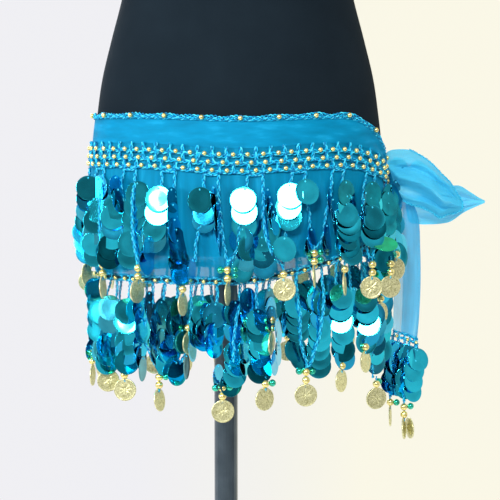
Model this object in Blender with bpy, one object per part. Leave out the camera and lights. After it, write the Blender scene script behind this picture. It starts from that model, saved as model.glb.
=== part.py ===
"""A sheer hip scarf with a beaded net band, two rows of fringe and a side knot, tied on a dress form with its stand.

Metres, +Z up. The front faces -Y and the knot is on the +X hip. The origin is on the floor, under the form.
Lengths along the scarf are counted in net columns from the knot, round the front, and back to the knot.
"""

import bisect
import math
from collections import namedtuple

import bmesh
import bpy
from mathutils import Vector

# The dress form and its stand
FORM_BOTTOM = 0.800
FORM_SIDES = 40
POLE_X = -0.014  # the pole stands a little to one side of the form's middle
POLE_RADIUS = 0.0135
FLANGE_RADIUS = 0.045
FLANGE_THICKNESS = 0.004
BASE_RADIUS = 0.175
BASE_THICKNESS = 0.012
HUB_RADIUS = 0.021
HUB_TOP = 0.050
STAND_SIDES = 32
POLE_SIDES = 24
TOUCH = 0.0003  # the gap between two pieces that touch

# Heights over the form's lower edge, at the middle of the front
TOP_EDGE = 0.1475
TAB_TOP = 0.1189
BAR_HEIGHTS = (0.1096, 0.1009, 0.0922)
CLOTH_HEM = -0.0222

# The cloth
CLOTH = 0.0012
CLOTH_CLEARANCE = 0.0008
RAISED = 0.0055  # the net sits this much higher towards the sides
SAG = 0.0060
SAG_ANGLE = 24.0
TOP_SHARE = 0.65  # the upper edge follows the net's sag by this share
FULLEST = 0.080  # the height of the form's fullest section
LEAVES_FORM = 0.010  # below this height the cloth hangs free of the form
TAPER = 0.12
COLUMNS = 57
KNOT_ARC = 0.2302  # from the middle of the front to the knot, along the hip
DROP_ROWS = (0.30, 0.58, 0.82, 1.0)  # rows of the cloth between the net and the hem

# How the edges draw together at the knot: how far, over how many columns, and how suddenly
Draw = namedtuple("Draw", "height columns power")
TOP_DRAW = Draw(-0.062, 6.5, 1.6)
TAB_DRAW = Draw(-0.038, 7.5, 1.8)
BOTTOM_BAR_DRAW = Draw(-0.030, 7.5, 1.8)
HEM_DRAW = Draw(0.062, 15.0, 1.5)
GATHER_DEPTH = 0.0032
GATHER_COLUMNS = 4.0
GATHERED_ROWS = (1, 7)

# The crocheted net, its hem and the corded upper edge
NET_THICKNESS = 0.0016
BAR_WIDTH = 0.0024
POST_WIDTH = 0.0026
HEM_BAR = 0.0018
HEM_GAP = 0.0052
CORD_RADIUS = 0.0021
CORD_SCALLOP = 0.0012
CORD_OUT = 0.0010
CORD_STITCHES = 21
CORD_SECTIONS = 4  # to each stitch

# The fringe
STRIP_HEIGHT = 0.0020
STRIP_THICKNESS = 0.0018
CHAIN_RADIUS = 0.0012
DISC_RADIUS = 0.0125
DISC_DEPTH = 0.0018  # half the depth of a strand's hanging discs
COIN_RADIUS = 0.0125
COIN_DEPTH = 0.0008
INNER_LAYER = 0.0027
OUTER_LAYER = 0.0088
UNDER_FRINGE = 0.0075  # how far the upper strands ride out where they hang over the lower ones
RIDE_LAG = 0.020  # the inner strands start to do so where the lower fringe is this much higher
CHAIN_LENGTH = 0.092
BEADS_LENGTH = 0.0165
UPPER_BARE = 0.020
UPPER_STRAIGHT = 0.050  # the upper strands hang straight down from this height
LOWER_BARE = 0.017

# The knot and the two ends that leave it
KNOT_HEIGHT = 0.0850
KNOT_SIZE = Vector((0.0145, 0.0180, 0.0210))
KNOT_NESTLE = 0.0007  # how deep the knot sits in the gathers

Section = namedtuple("Section", "height half_width front back")
FORM_SECTIONS = (
    Section(0.000, 0.1500, 0.0950, 0.1080),
    Section(0.006, 0.1590, 0.1010, 0.1160),
    Section(0.025, 0.1640, 0.1045, 0.1200),
    Section(0.085, 0.1662, 0.1060, 0.1220),
    Section(0.120, 0.1640, 0.1045, 0.1180),
    Section(0.155, 0.1600, 0.1015, 0.1110),
    Section(0.195, 0.1540, 0.0970, 0.1010),
    Section(0.240, 0.1430, 0.0915, 0.0900),
    Section(0.2875, 0.1305, 0.0870, 0.0820),
    Section(0.330, 0.1230, 0.0855, 0.0780),
    Section(0.370, 0.1235, 0.0890, 0.0780),
    Section(0.425, 0.1330, 0.1010, 0.0830),
    Section(0.475, 0.1440, 0.1170, 0.0890),
    Section(0.515, 0.1500, 0.1230, 0.0930),
    Section(0.560, 0.1530, 0.1130, 0.0960),
    Section(0.605, 0.1640, 0.0890, 0.0950),
    Section(0.645, 0.1740, 0.0700, 0.0860),
    Section(0.668, 0.1640, 0.0590, 0.0760),
    Section(0.688, 0.1300, 0.0530, 0.0690),
    Section(0.706, 0.0900, 0.0520, 0.0640),
    Section(0.724, 0.0660, 0.0510, 0.0590),
    Section(0.748, 0.0560, 0.0480, 0.0560),
    Section(0.782, 0.0530, 0.0460, 0.0540),
)

# Soft vertical folds of the hanging cloth: the column they run down, their half width in columns and how far they stand
Fold = namedtuple("Fold", "column spread depth")
FOLDS = (
    Fold(4.2, 1.6, 0.0030),
    Fold(7.6, 1.8, 0.0042),
    Fold(10.4, 1.3, 0.0030),
    Fold(13.3, 1.7, 0.0045),
    Fold(15.9, 1.2, 0.0034),
    Fold(18.6, 1.6, 0.0052),
    Fold(21.8, 1.9, 0.0036),
    Fold(25.4, 1.5, 0.0048),
    Fold(28.3, 1.8, 0.0034),
    Fold(31.9, 1.5, 0.0050),
    Fold(35.0, 2.0, 0.0038),
    Fold(38.7, 1.6, 0.0046),
    Fold(41.6, 1.4, 0.0030),
    Fold(44.9, 1.8, 0.0052),
    Fold(48.3, 1.6, 0.0036),
    Fold(51.4, 1.5, 0.0044),
)

MOST_FOLD = max(fold.depth for fold in FOLDS)

# Cross-lines of the tied end, from the knot outwards. dx and dz are from the knot's middle; bulge is the belly's depth
Line = namedtuple("Line", "top_dx top_dz bottom_dx bottom_dz dy bulge")
FLAP_LINES = (
    Line(-0.0100, 0.0264, 0.0005, -0.0126, -0.0158, -0.0040),
    Line(-0.0035, 0.0309, 0.0055, -0.0266, -0.0150, -0.0090),
    Line(0.0125, 0.0300, 0.0175, -0.0336, -0.0090, -0.0140),
    Line(0.0245, 0.0244, 0.0295, -0.0371, -0.0040, -0.0180),
    Line(0.0375, 0.0164, 0.0405, -0.0426, 0.0010, -0.0200),
    Line(0.0505, 0.0039, 0.0505, -0.0486, 0.0060, -0.0180),
    Line(0.0625, -0.0076, 0.0605, -0.0456, 0.0110, -0.0140),
    Line(0.0720, -0.0210, 0.0705, -0.0436, 0.0160, -0.0080),
    Line(0.0790, -0.0315, 0.0785, -0.0410, 0.0195, -0.0030),
)
POINT_LINES = (
    Line(0.0103, 0.0040, 0.0089, -0.0120, 0.0109, 0.0030),
    Line(0.0250, 0.0170, 0.0160, -0.0520, 0.0245, 0.0100),
    Line(0.0370, 0.0120, 0.0280, -0.0575, 0.0250, 0.0130),
    Line(0.0510, 0.0000, 0.0420, -0.0580, 0.0250, 0.0140),
    Line(0.0640, -0.0110, 0.0560, -0.0570, 0.0245, 0.0120),
    Line(0.0765, -0.0125, 0.0670, -0.0540, 0.0235, 0.0090),
    Line(0.0875, -0.0190, 0.0810, -0.0440, 0.0225, 0.0060),
    Line(0.0975, -0.0255, 0.0940, -0.0375, 0.0215, 0.0030),
    Line(0.1060, -0.0300, 0.1055, -0.0325, 0.0210, 0.0005),
)

# Plan of the hanging end, a strip folded once lengthways, at its full width: offsets from the knot's middle
TAIL_FOLD = ((-0.0030, 0.0035), (0.0100, 0.0015), (0.0230, 0.0030), (0.0285, 0.0070), (0.0225, 0.0110), (0.0080, 0.0120))
# Stations down the hanging end: depth under the knot's middle, share of the full width, drift in x
Station = namedtuple("Station", "depth share drift")
TAIL_STATIONS = (
    Station(0.0203, 0.50, -0.0062),
    Station(0.0450, 0.85, -0.0005),
    Station(0.0800, 1.00, 0.0000),
    Station(0.1200, 1.00, 0.0008),
    Station(0.1580, 0.96, 0.0000),
    Station(0.1800, 0.92, -0.0012),
)
TAIL_FLAT = 0.65  # the fold is this much flatter at the lower edge
TAIL_SLANT = 0.010  # the end's lower edge is this much lower at its outer side
TAIL_SPREAD = 0.003  # its strands splay apart by this much each
TAIL_DRIFT = 0.006  # they hang a little towards the form
TAIL_LAYER = 0.0060
TAIL_ROOTS = (0.06, 0.34, 0.62, 0.90)  # places of its strands, as shares of the lower edge's front layer

Finish = namedtuple("Finish", "colour roughness metallic")
BLACK_JERSEY = Finish((0.012, 0.015, 0.020), 0.85, 0.0)
DARK_METAL = Finish((0.035, 0.045, 0.055), 0.35, 0.6)
CHIFFON = Finish((0.010, 0.330, 0.680), 0.65, 0.0)
CROCHET = Finish((0.015, 0.300, 0.640), 0.80, 0.0)
DISCS = Finish((0.005, 0.310, 0.370), 0.15, 1.0)


def clear_scene():
    for thing in list(bpy.data.objects):
        bpy.data.objects.remove(thing)


def smooth_step(share):
    share = max(0.0, min(1.0, share))
    return share * share * (3 - 2 * share)


def section_value(field, height):
    """A dimension of the form at a height, on a smooth curve through its sections."""
    rows = FORM_SECTIONS
    height = max(rows[0].height, min(rows[-1].height, height))
    at = max(0, min(len(rows) - 2, bisect.bisect_right([r.height for r in rows], height) - 1))

    def slope(i):
        before, after = rows[max(0, i - 1)], rows[min(len(rows) - 1, i + 1)]
        return (getattr(after, field) - getattr(before, field)) / (after.height - before.height)

    low, high = rows[at], rows[at + 1]
    span = high.height - low.height
    u = (height - low.height) / span
    return (
        getattr(low, field) * (2 * u**3 - 3 * u**2 + 1)
        + slope(at) * span * (u**3 - 2 * u**2 + u)
        + getattr(high, field) * (3 * u**2 - 2 * u**3)
        + slope(at + 1) * span * (u**3 - u**2)
    )


def oval_point(angle, half_width, front, back, out=0.0):
    """A point of the form's oval section. Angle 0 is the front and 90 degrees the +X side."""
    depth = front if math.cos(angle) > 0 else back
    point = Vector((half_width * math.sin(angle), -depth * math.cos(angle), 0))
    return point + out * oval_normal(angle, half_width, depth)


def oval_normal(angle, half_width, depth):
    return Vector((depth * math.sin(angle), -half_width * math.cos(angle), 0)).normalized()


def hip_arcs():
    """Arc lengths from the middle of the front to each degree, round the fullest section, from -180 to 180."""
    sizes = [section_value(field, FULLEST) for field in ("half_width", "front", "back")]
    points = [oval_point(math.radians(degree), *sizes) for degree in range(-180, 181)]
    arcs = [0.0]
    for before, after in zip(points, points[1:]):
        arcs.append(arcs[-1] + (after - before).length)
    middle = arcs[180]
    return [arc - middle for arc in arcs]


HIP_ARCS = hip_arcs()
PERIMETER = HIP_ARCS[-1] - HIP_ARCS[0]
PITCH = PERIMETER / COLUMNS


def column_angle(column):
    """The angle round the form of a net column, counted from the knot towards the front."""
    arc = KNOT_ARC - column * PITCH
    turns = math.floor((arc - HIP_ARCS[0]) / PERIMETER)
    arc -= turns * PERIMETER
    at = max(0, min(359, bisect.bisect_right(HIP_ARCS, arc) - 1))
    share = (arc - HIP_ARCS[at]) / (HIP_ARCS[at + 1] - HIP_ARCS[at])
    return math.radians(at - 180 + share)


def columns_from_knot(column):
    column %= COLUMNS
    return min(column, COLUMNS - column)


def drawn(draw, column):
    """How far an edge has moved up or down at a column, as it draws together at the knot."""
    return draw.height * max(0.0, 1 - columns_from_knot(column) / draw.columns) ** draw.power


def side_rise(column):
    return RAISED - SAG * math.exp(-((math.degrees(column_angle(column)) / SAG_ANGLE) ** 2))


def line_heights(column):
    """Heights of the scarf's own lines at a column: upper edge, tabs' top, the three bars and the hem."""
    rise = side_rise(column)
    tab, low_bar = drawn(TAB_DRAW, column), drawn(BOTTOM_BAR_DRAW, column)
    bars = [
        FORM_BOTTOM + height + rise + low_bar + (tab - low_bar) * (height - BAR_HEIGHTS[2]) / (TAB_TOP - BAR_HEIGHTS[2])
        for height in BAR_HEIGHTS
    ]
    return {
        "top": FORM_BOTTOM + TOP_EDGE + rise * TOP_SHARE + drawn(TOP_DRAW, column),
        "tab": FORM_BOTTOM + TAB_TOP + rise + tab,
        "bars": bars,
        "hem": FORM_BOTTOM + CLOTH_HEM + drawn(HEM_DRAW, column),
    }


def cloth_rows(column):
    """Heights of the cloth's rows of points, from the upper edge to the hem."""
    lines = line_heights(column)
    low = lines["bars"][-1]
    drop = [low + (lines["hem"] - low) * share for share in DROP_ROWS]
    return [lines["top"], (lines["top"] + lines["tab"]) / 2, lines["tab"], *lines["bars"], *drop]


def fold_growth(column, height):
    """How far the folds have opened out: nothing at the net's lower bar, fully at the hem."""
    share = (line_heights(column)["bars"][-1] - height) / (BAR_HEIGHTS[2] - CLOTH_HEM)
    return max(0.0, min(1.0, share)) ** 0.8


def fold_depth(column):
    """How far the folds stand out at the hem."""
    total = 0.0
    for fold in FOLDS:
        away = abs(column % COLUMNS - fold.column) / fold.spread
        if away < 1:
            total += fold.depth * math.cos(away * math.pi / 2) ** 2
    return total


def gather_depth(column):
    return GATHER_DEPTH * math.exp(-((columns_from_knot(column) / GATHER_COLUMNS) ** 2))


def smooth_surface(column, height, out):
    """A point over the form, carried on down and a little inwards from its lower edge, moved out from it."""
    angle = column_angle(column)
    level = max(LEAVES_FORM, height - FORM_BOTTOM)
    below = max(0.0, level - (height - FORM_BOTTOM)) * TAPER
    sizes = [section_value(field, level) for field in ("half_width", "front", "back")]
    point = oval_point(angle, *sizes, out - below)
    point.z = height
    return point


def cloth_surface(column, height, row):
    """A point on the cloth's outer side."""
    gather = gather_depth(column) if row in GATHERED_ROWS else 0.0
    folds = fold_depth(column) * fold_growth(column, height)
    return smooth_surface(column, height, CLOTH_CLEARANCE + CLOTH + gather + folds)


def over_folds(column, height, out, straight_from):
    """A point over the tops of the cloth's folds and gathers, moved out from them. It hangs straight from a height."""
    folds = MOST_FOLD * fold_growth(column, height)
    total = CLOTH_CLEARANCE + CLOTH + gather_depth(column) + folds + out
    point = smooth_surface(column, max(height, FORM_BOTTOM + straight_from), total)
    point.z = height
    return point


CLOTH_POINTS = [
    [cloth_surface(column, height, row) for row, height in enumerate(cloth_rows(column))] for column in range(COLUMNS)
]


def out_direction(column):
    """The horizontal direction that points away from the cloth at a column."""
    angle = column_angle(column)
    sizes = [section_value(field, FULLEST) for field in ("half_width", "front", "back")]
    return oval_normal(angle, sizes[0], sizes[1] if math.cos(angle) > 0 else sizes[2])


def along_direction(column):
    """The horizontal direction along the cloth, towards greater columns."""
    return Vector((0, 0, 1)).cross(-out_direction(column))


def on_cloth(column, height, out=0.0):
    """A point over the faceted cloth, moved out from it. Below the hem it carries straight on down."""
    low = math.floor(column)
    share = column - low

    def down(column_points):
        for upper, lower in zip(column_points, column_points[1:]):
            if height >= lower.z:
                part = max(0.0, min(1.0, (upper.z - height) / (upper.z - lower.z)))
                return upper.lerp(lower, part)
        return column_points[-1].copy()

    point = down(CLOTH_POINTS[low % COLUMNS]).lerp(down(CLOTH_POINTS[(low + 1) % COLUMNS]), share)
    point.z = height
    return point + out * out_direction(column)


def material(name, finish):
    made = bpy.data.materials.new(name)
    made.use_nodes = True
    shader = made.node_tree.nodes["Principled BSDF"]
    shader.inputs["Base Color"].default_value = (*finish.colour, 1)
    shader.inputs["Roughness"].default_value = finish.roughness
    shader.inputs["Metallic"].default_value = finish.metallic
    return made


def add_object(name, mesh_data, finish, smooth_degrees=40):
    bmesh.ops.recalc_face_normals(mesh_data, faces=mesh_data.faces)
    mesh = bpy.data.meshes.new(name)
    mesh_data.to_mesh(mesh)
    mesh_data.free()
    mesh.shade_smooth()
    mesh.set_sharp_from_angle(angle=math.radians(smooth_degrees))
    mesh.materials.append(material(name, finish))
    made = bpy.data.objects.new(name, mesh)
    bpy.context.scene.collection.objects.link(made)
    return made


def skin_rings(mesh_data, rings, closed=False):
    """Joins rings of points into a tube with flat ends, or into a closed loop."""
    loops = [[mesh_data.verts.new(point) for point in ring] for ring in rings]
    pairs = list(zip(loops, loops[1:]))
    if closed:
        pairs.append((loops[-1], loops[0]))
    for before, after in pairs:
        for i in range(len(before)):
            j = (i + 1) % len(before)
            mesh_data.faces.new((before[i], before[j], after[j], after[i]))
    if not closed:
        mesh_data.faces.new(loops[0])
        mesh_data.faces.new(loops[-1])
    return loops


def wall(outer, inner, kept=None, around=False):
    """A wall between two grids of points, with an opening at each cell that isn't kept."""
    mesh_data = bmesh.new()
    columns, rows = len(outer), len(outer[0])
    sides = [[[mesh_data.verts.new(point) for point in line] for line in grid] for grid in (outer, inner)]
    cells = columns if around else columns - 1

    def is_kept(c, r):
        if around:
            c %= columns
        return 0 <= c < cells and 0 <= r < rows - 1 and (kept is None or kept(c, r))

    for c in range(cells):
        for r in range(rows - 1):
            if not is_kept(c, r):
                continue
            d = (c + 1) % columns
            for side in sides:
                mesh_data.faces.new((side[c][r], side[d][r], side[d][r + 1], side[c][r + 1]))
            edges = (
                ((c - 1, r), (c, r), (c, r + 1)),
                ((c + 1, r), (d, r), (d, r + 1)),
                ((c, r - 1), (c, r), (d, r)),
                ((c, r + 1), (c, r + 1), (d, r + 1)),
            )
            for beyond, a, b in edges:
                if not is_kept(*beyond):
                    corners = [sides[0][a[0]][a[1]], sides[0][b[0]][b[1]], sides[1][b[0]][b[1]], sides[1][a[0]][a[1]]]
                    mesh_data.faces.new(corners)
    bmesh.ops.delete(mesh_data, geom=[v for v in mesh_data.verts if not v.link_faces], context="VERTS")
    return mesh_data


def turned(name, profile, finish, sides, centre_x=0.0):
    """A solid turned about a vertical axis from (radius, height) points that start and end on the axis."""
    mesh_data = bmesh.new()
    rings = []
    for radius, height in profile:
        turns = range(sides) if radius > 0 else range(1)
        angles = [2 * math.pi * i / sides for i in turns]
        ring = [(centre_x + radius * math.cos(a), radius * math.sin(a), height) for a in angles]
        rings.append([mesh_data.verts.new(point) for point in ring])
    for low, high in zip(rings, rings[1:]):
        for i in range(sides):
            j = (i + 1) % sides
            corners = [low[i % len(low)], low[j % len(low)], high[j % len(high)], high[i % len(high)]]
            mesh_data.faces.new(list(dict.fromkeys(corners)))
    return add_object(name, mesh_data, finish, 30)


def build_form():
    """The padded body: ovals lofted from the hip to the neck, with rounded lower and upper rims."""
    mesh_data = bmesh.new()
    angles = [2 * math.pi * (i + 0.5) / FORM_SIDES for i in range(FORM_SIDES)]
    rings = []
    for section in FORM_SECTIONS:
        ring = []
        for angle in angles:
            point = oval_point(angle, section.half_width, section.front, section.back)
            point.z = FORM_BOTTOM + section.height
            ring.append(point)
        rings.append(ring)
    skin_rings(mesh_data, rings)
    return add_object("form_body", mesh_data, BLACK_JERSEY, 60)


def build_stand():
    flange_top = FORM_BOTTOM - TOUCH
    flange_low = flange_top - FLANGE_THICKNESS
    pole_bottom = BASE_THICKNESS + TOUCH
    pole_profile = (
        (0, pole_bottom),
        (POLE_RADIUS, pole_bottom),
        (POLE_RADIUS, flange_low - 0.012),
        (POLE_RADIUS + 0.005, flange_low),
        (FLANGE_RADIUS, flange_low),
        (FLANGE_RADIUS, flange_top),
        (0, flange_top),
    )
    turned("stand_pole", pole_profile, DARK_METAL, POLE_SIDES, POLE_X)
    socket = POLE_RADIUS + TOUCH
    base_profile = (
        (0, 0),
        (BASE_RADIUS - 0.003, 0),
        (BASE_RADIUS, 0.003),
        (BASE_RADIUS - 0.004, 0.009),
        (BASE_RADIUS - 0.014, BASE_THICKNESS),
        (HUB_RADIUS + 0.006, BASE_THICKNESS + 0.003),
        (HUB_RADIUS, BASE_THICKNESS + 0.009),
        (HUB_RADIUS, HUB_TOP - 0.002),
        (HUB_RADIUS - 0.002, HUB_TOP),
        (socket, HUB_TOP),
        (socket, BASE_THICKNESS),
        (0, BASE_THICKNESS),
    )
    turned("stand_base", base_profile, DARK_METAL, STAND_SIDES, POLE_X)


def build_cloth():
    inner = []
    for column, line in enumerate(CLOTH_POINTS):
        away = out_direction(column)
        inner.append([point - CLOTH * away for point in line])
    add_object("scarf_cloth", wall(CLOTH_POINTS, inner, around=True), CHIFFON, 60)


def build_upper_cord():
    """The crocheted cord on the upper edge: it dips a little to a stitch between every two beads."""
    mesh_data = bmesh.new()
    rings = []
    for section in range(CORD_STITCHES * CORD_SECTIONS):
        column = section * COLUMNS / (CORD_STITCHES * CORD_SECTIONS)
        height = line_heights(column)["top"] + CORD_RADIUS + 2 * TOUCH
        height += CORD_SCALLOP * (1 - math.cos(2 * math.pi * section / CORD_SECTIONS)) / 2
        away = out_direction(column)
        middle = on_cloth(column, height, CORD_OUT)
        corners = ((1, 0), (0, 1), (-1, 0), (0, -1))
        rings.append([middle + CORD_RADIUS * (a * away + Vector((0, 0, b))) for a, b in corners])
    skin_rings(mesh_data, rings, closed=True)
    add_object("upper_cord", mesh_data, CROCHET)


def post_edges(first, last):
    """Column positions of both edges of every post, from the first column to the last."""
    half = POST_WIDTH / PITCH / 2
    return [column + side * half for column in range(first, last + 1) for side in (-1, 1)]


def build_net(name, first, last):
    """Part of the net band: posts that stand above the top bar as tabs, and three bars, all on the cloth."""
    places = post_edges(first, last)
    inner_out, outer_out = TOUCH, TOUCH + NET_THICKNESS
    outer, inner = [], []
    for place in places:
        lines = line_heights(place)
        half = BAR_WIDTH / 2
        heights = [lines["tab"]]
        for bar in lines["bars"]:
            heights += [bar + half, bar - half]
        outer.append([on_cloth(place, height, outer_out) for height in heights])
        inner.append([on_cloth(place, height, inner_out) for height in heights])
    mesh_data = wall(outer, inner, kept=lambda c, r: c % 2 == 0 or r % 2 == 1)
    add_object(name, mesh_data, CROCHET)


def build_hem_net(name, first, last):
    """Part of the open crochet edging that hangs from the cloth's hem."""
    places = post_edges(first, last)
    outer, inner = [], []
    for place in places:
        top = line_heights(place)["hem"] - TOUCH
        heights = [top, top - HEM_BAR, top - HEM_BAR - HEM_GAP, top - 2 * HEM_BAR - HEM_GAP]
        outer.append([on_cloth(place, height, (NET_THICKNESS - CLOTH) / 2) for height in heights])
        inner.append([on_cloth(place, height, -(NET_THICKNESS + CLOTH) / 2) for height in heights])
    mesh_data = wall(outer, inner, kept=lambda c, r: c % 2 == 0 or r != 1)
    add_object(name, mesh_data, CROCHET)


def upper_root_height(column):
    """The top of the upper fringe's strip."""
    return line_heights(column)["bars"][-1] - BAR_WIDTH / 2 - TOUCH


def lower_root_height(column):
    """The top of the lower fringe's strip."""
    return line_heights(column)["hem"] - 2 * TOUCH - 2 * HEM_BAR - HEM_GAP


def ride_out(goal, height, outer_layer):
    """How far an upper strand stands further out where its pair hangs over the lower fringe."""
    lower = lower_root_height(goal)
    chain_end = upper_root_height(goal) - STRIP_HEIGHT - CHAIN_LENGTH
    lag = 0.0 if outer_layer else RIDE_LAG
    crowded = smooth_step((lower - chain_end + 0.022 - lag) / 0.030)
    return UNDER_FRINGE * crowded * smooth_step((lower + 0.014 - height) / 0.024)


Knob = namedtuple("Knob", "depth half_width half_depth layer")


def strand_profile(bare, outer_layer):
    """Stations down one strand: how far down, its half width and half depth, and how much of its layer it has reached."""
    full = (DISC_RADIUS, DISC_DEPTH)
    chain = (CHAIN_RADIUS, CHAIN_RADIUS)
    if not outer_layer:
        return (
            Knob(bare, *chain, 0.7),
            Knob(bare + 0.012, *full, 1.0),
            Knob(CHAIN_LENGTH - 0.010, *full, 1.0),
            Knob(CHAIN_LENGTH, 0.004, CHAIN_RADIUS, 1.0),
        )
    coin = CHAIN_LENGTH + BEADS_LENGTH
    return (
        Knob(bare, *chain, 0.45),
        Knob(bare + 0.012, *full, 1.0),
        Knob(CHAIN_LENGTH - 0.010, *full, 1.0),
        Knob(CHAIN_LENGTH, 0.0032, 0.0030, 1.0),
        Knob(coin, 0.0024, COIN_DEPTH, 1.0),
        Knob(coin + COIN_RADIUS * 0.35, COIN_RADIUS * 0.80, COIN_DEPTH, 1.0),
        Knob(coin + COIN_RADIUS * 1.0, COIN_RADIUS, COIN_DEPTH, 1.0),
        Knob(coin + COIN_RADIUS * 1.7, COIN_RADIUS * 0.70, COIN_DEPTH, 1.0),
        Knob(coin + COIN_RADIUS * 2.0, COIN_RADIUS * 0.20, COIN_DEPTH, 1.0),
    )


def strand_rings(column, goal, root_height, bare, outer_layer, over_lower):
    """Four-sided rings down a strand that leaves the strip at a column and leans towards its pair's meeting place."""
    rings = []
    straight_from = UPPER_STRAIGHT if over_lower else CLOTH_HEM
    layer = OUTER_LAYER if outer_layer else INNER_LAYER
    root_out = TOUCH + STRIP_THICKNESS / 2
    for knob in strand_profile(bare, outer_layer):
        lean = smooth_step(knob.depth / CHAIN_LENGTH) * 0.92
        place = column + (goal - column) * lean
        height = root_height - STRIP_HEIGHT - knob.depth
        extra = ride_out(goal, height, outer_layer) if over_lower else 0.0
        at_root = on_cloth(place, height, root_out)
        at_layer = over_folds(place, height, layer + extra, straight_from)
        middle = at_root.lerp(at_layer, knob.layer)
        wide = knob.half_width * along_direction(place)
        deep = knob.half_depth * out_direction(place)
        rings.append([middle + deep - wide, middle + deep + wide, middle - deep + wide, middle - deep - wide])
    return rings


def grow(mesh_data, face, rings):
    """Grows a closed strand out of one face of its strip, through rings of four points."""
    loop = list(face.verts)
    mesh_data.faces.remove(face)
    for ring in rings:
        fresh = [mesh_data.verts.new(point) for point in ring]
        for i in range(4):
            j = (i + 1) % 4
            mesh_data.faces.new((loop[i], loop[j], fresh[j], fresh[i]))
        loop = fresh
    mesh_data.faces.new(loop)


def strip_with_strands(sections, strands):
    """A strip through four-cornered sections, with a strand grown from the underside of some of its stretches.

    A section lists its corners outer top, outer bottom, inner bottom, inner top. strands maps a stretch to its rings.
    """
    mesh_data = bmesh.new()
    loops = [[mesh_data.verts.new(point) for point in section] for section in sections]
    for i, (before, after) in enumerate(zip(loops, loops[1:])):
        for a, b in ((0, 1), (2, 3), (3, 0)):
            mesh_data.faces.new((before[a], before[b], after[b], after[a]))
        under = mesh_data.faces.new((before[1], after[1], after[2], before[2]))
        if i in strands:
            grow(mesh_data, under, strands[i])
    mesh_data.faces.new(loops[0])
    mesh_data.faces.new(loops[-1])
    return mesh_data


def is_root(column):
    """Strands hang in pairs from two posts out of every three."""
    return column % 3 != 0


def build_fringe(name, first, last, root_height, bare, over_lower, roots):
    """One stretch of fringe: a narrow strip under a net, with its strands."""
    half = CHAIN_RADIUS / PITCH
    out = (TOUCH, TOUCH + STRIP_THICKNESS)
    places, strands = [first - 0.30], {}
    for column in range(first, last + 1):
        if column in roots:
            goal = column + 1 if column % 3 == 2 else column - 1
            outer_layer = column % 3 == 2
            places.append(column - half)
            rings = strand_rings(column, goal, root_height(column), bare, outer_layer, over_lower)
            strands[len(places) - 1] = rings
            places.append(column + half)
        else:
            places.append(column)
    places.append(last + 0.30)
    sections = []
    for place in places:
        top = root_height(place)
        low = top - STRIP_HEIGHT
        corners = ((top, out[1]), (low, out[1]), (low, out[0]), (top, out[0]))
        sections.append([on_cloth(place, height, distance) for height, distance in corners])
    add_object(name, strip_with_strands(sections, strands), DISCS)


def knot_middle():
    away = out_direction(0)
    height = FORM_BOTTOM + KNOT_HEIGHT
    return on_cloth(0, height) + away * (GATHER_DEPTH - KNOT_NESTLE + KNOT_SIZE.x)


def build_knot():
    """A round knot with a band of cloth slanting over it."""
    mesh_data = bmesh.new()
    sides, levels = 14, 8
    middle = knot_middle()
    away, along, up = out_direction(0), along_direction(0), Vector((0, 0, 1))
    rings = []
    for level in range(1, levels):
        tilt = math.pi * level / levels
        ring = []
        for side in range(sides):
            turn = 2 * math.pi * side / sides
            band = 1 - 0.10 * math.cos(turn + 2.4 * math.cos(tilt)) ** 4
            a = math.cos(turn) * math.sin(tilt) * KNOT_SIZE.x * band
            b = math.sin(turn) * math.sin(tilt) * KNOT_SIZE.y * band
            ring.append(middle + a * away + b * along + math.cos(tilt) * KNOT_SIZE.z * up)
        rings.append(ring)
    skin_rings(mesh_data, rings)
    add_object("side_knot", mesh_data, CHIFFON, 80)


def belly_sheet(name, lines, across):
    """A sheet of cloth through cross-lines that belly out between their ends."""
    middle = knot_middle()
    front = []
    for line in lines:
        top = middle + Vector((line.top_dx, line.dy, line.top_dz))
        bottom = middle + Vector((line.bottom_dx, line.dy, line.bottom_dz))
        row = []
        for i in range(across + 1):
            share = i / across
            point = top.lerp(bottom, share)
            point.y += line.bulge * math.sin(math.pi * share)
            row.append(point)
        front.append(row)
    back = offset_grid(front, CLOTH)
    add_object(name, wall(front, back), CHIFFON, 80)


def offset_grid(grid, distance):
    """The same grid moved by a distance along its own normals."""
    moved = []
    for c, line in enumerate(grid):
        before, after = grid[max(0, c - 1)], grid[min(len(grid) - 1, c + 1)]
        row = []
        for r, point in enumerate(line):
            down = line[min(len(line) - 1, r + 1)] - line[max(0, r - 1)]
            row.append(point + distance * (after[r] - before[r]).cross(down).normalized())
        moved.append(row)
    return moved


def tail_grid():
    """Points of the hanging end's front side: one line for each station down it."""
    middle = knot_middle()
    plan_x = [dx for dx, _ in TAIL_FOLD]
    centre_x = (min(plan_x) + max(plan_x)) / 2
    centre_y = sum(dy for _, dy in TAIL_FOLD) / len(TAIL_FOLD)
    grid = []
    for station in TAIL_STATIONS:
        line = []
        flat = 1 - TAIL_FLAT * station.depth / TAIL_STATIONS[-1].depth
        for dx, dy in TAIL_FOLD:
            x = centre_x + (dx - centre_x) * station.share + station.drift
            y = centre_y + (dy - centre_y) * flat
            slant = TAIL_SLANT * (dx - plan_x[0]) / (max(plan_x) - plan_x[0]) * station.depth / TAIL_STATIONS[-1].depth
            line.append(middle + Vector((x, y, -station.depth - slant)))
        grid.append(line)
    return grid


def build_tail():
    grid = tail_grid()
    back = offset_grid(grid, -CLOTH)
    add_object("hanging_end", wall(grid, back), CHIFFON, 80)
    return grid


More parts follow.
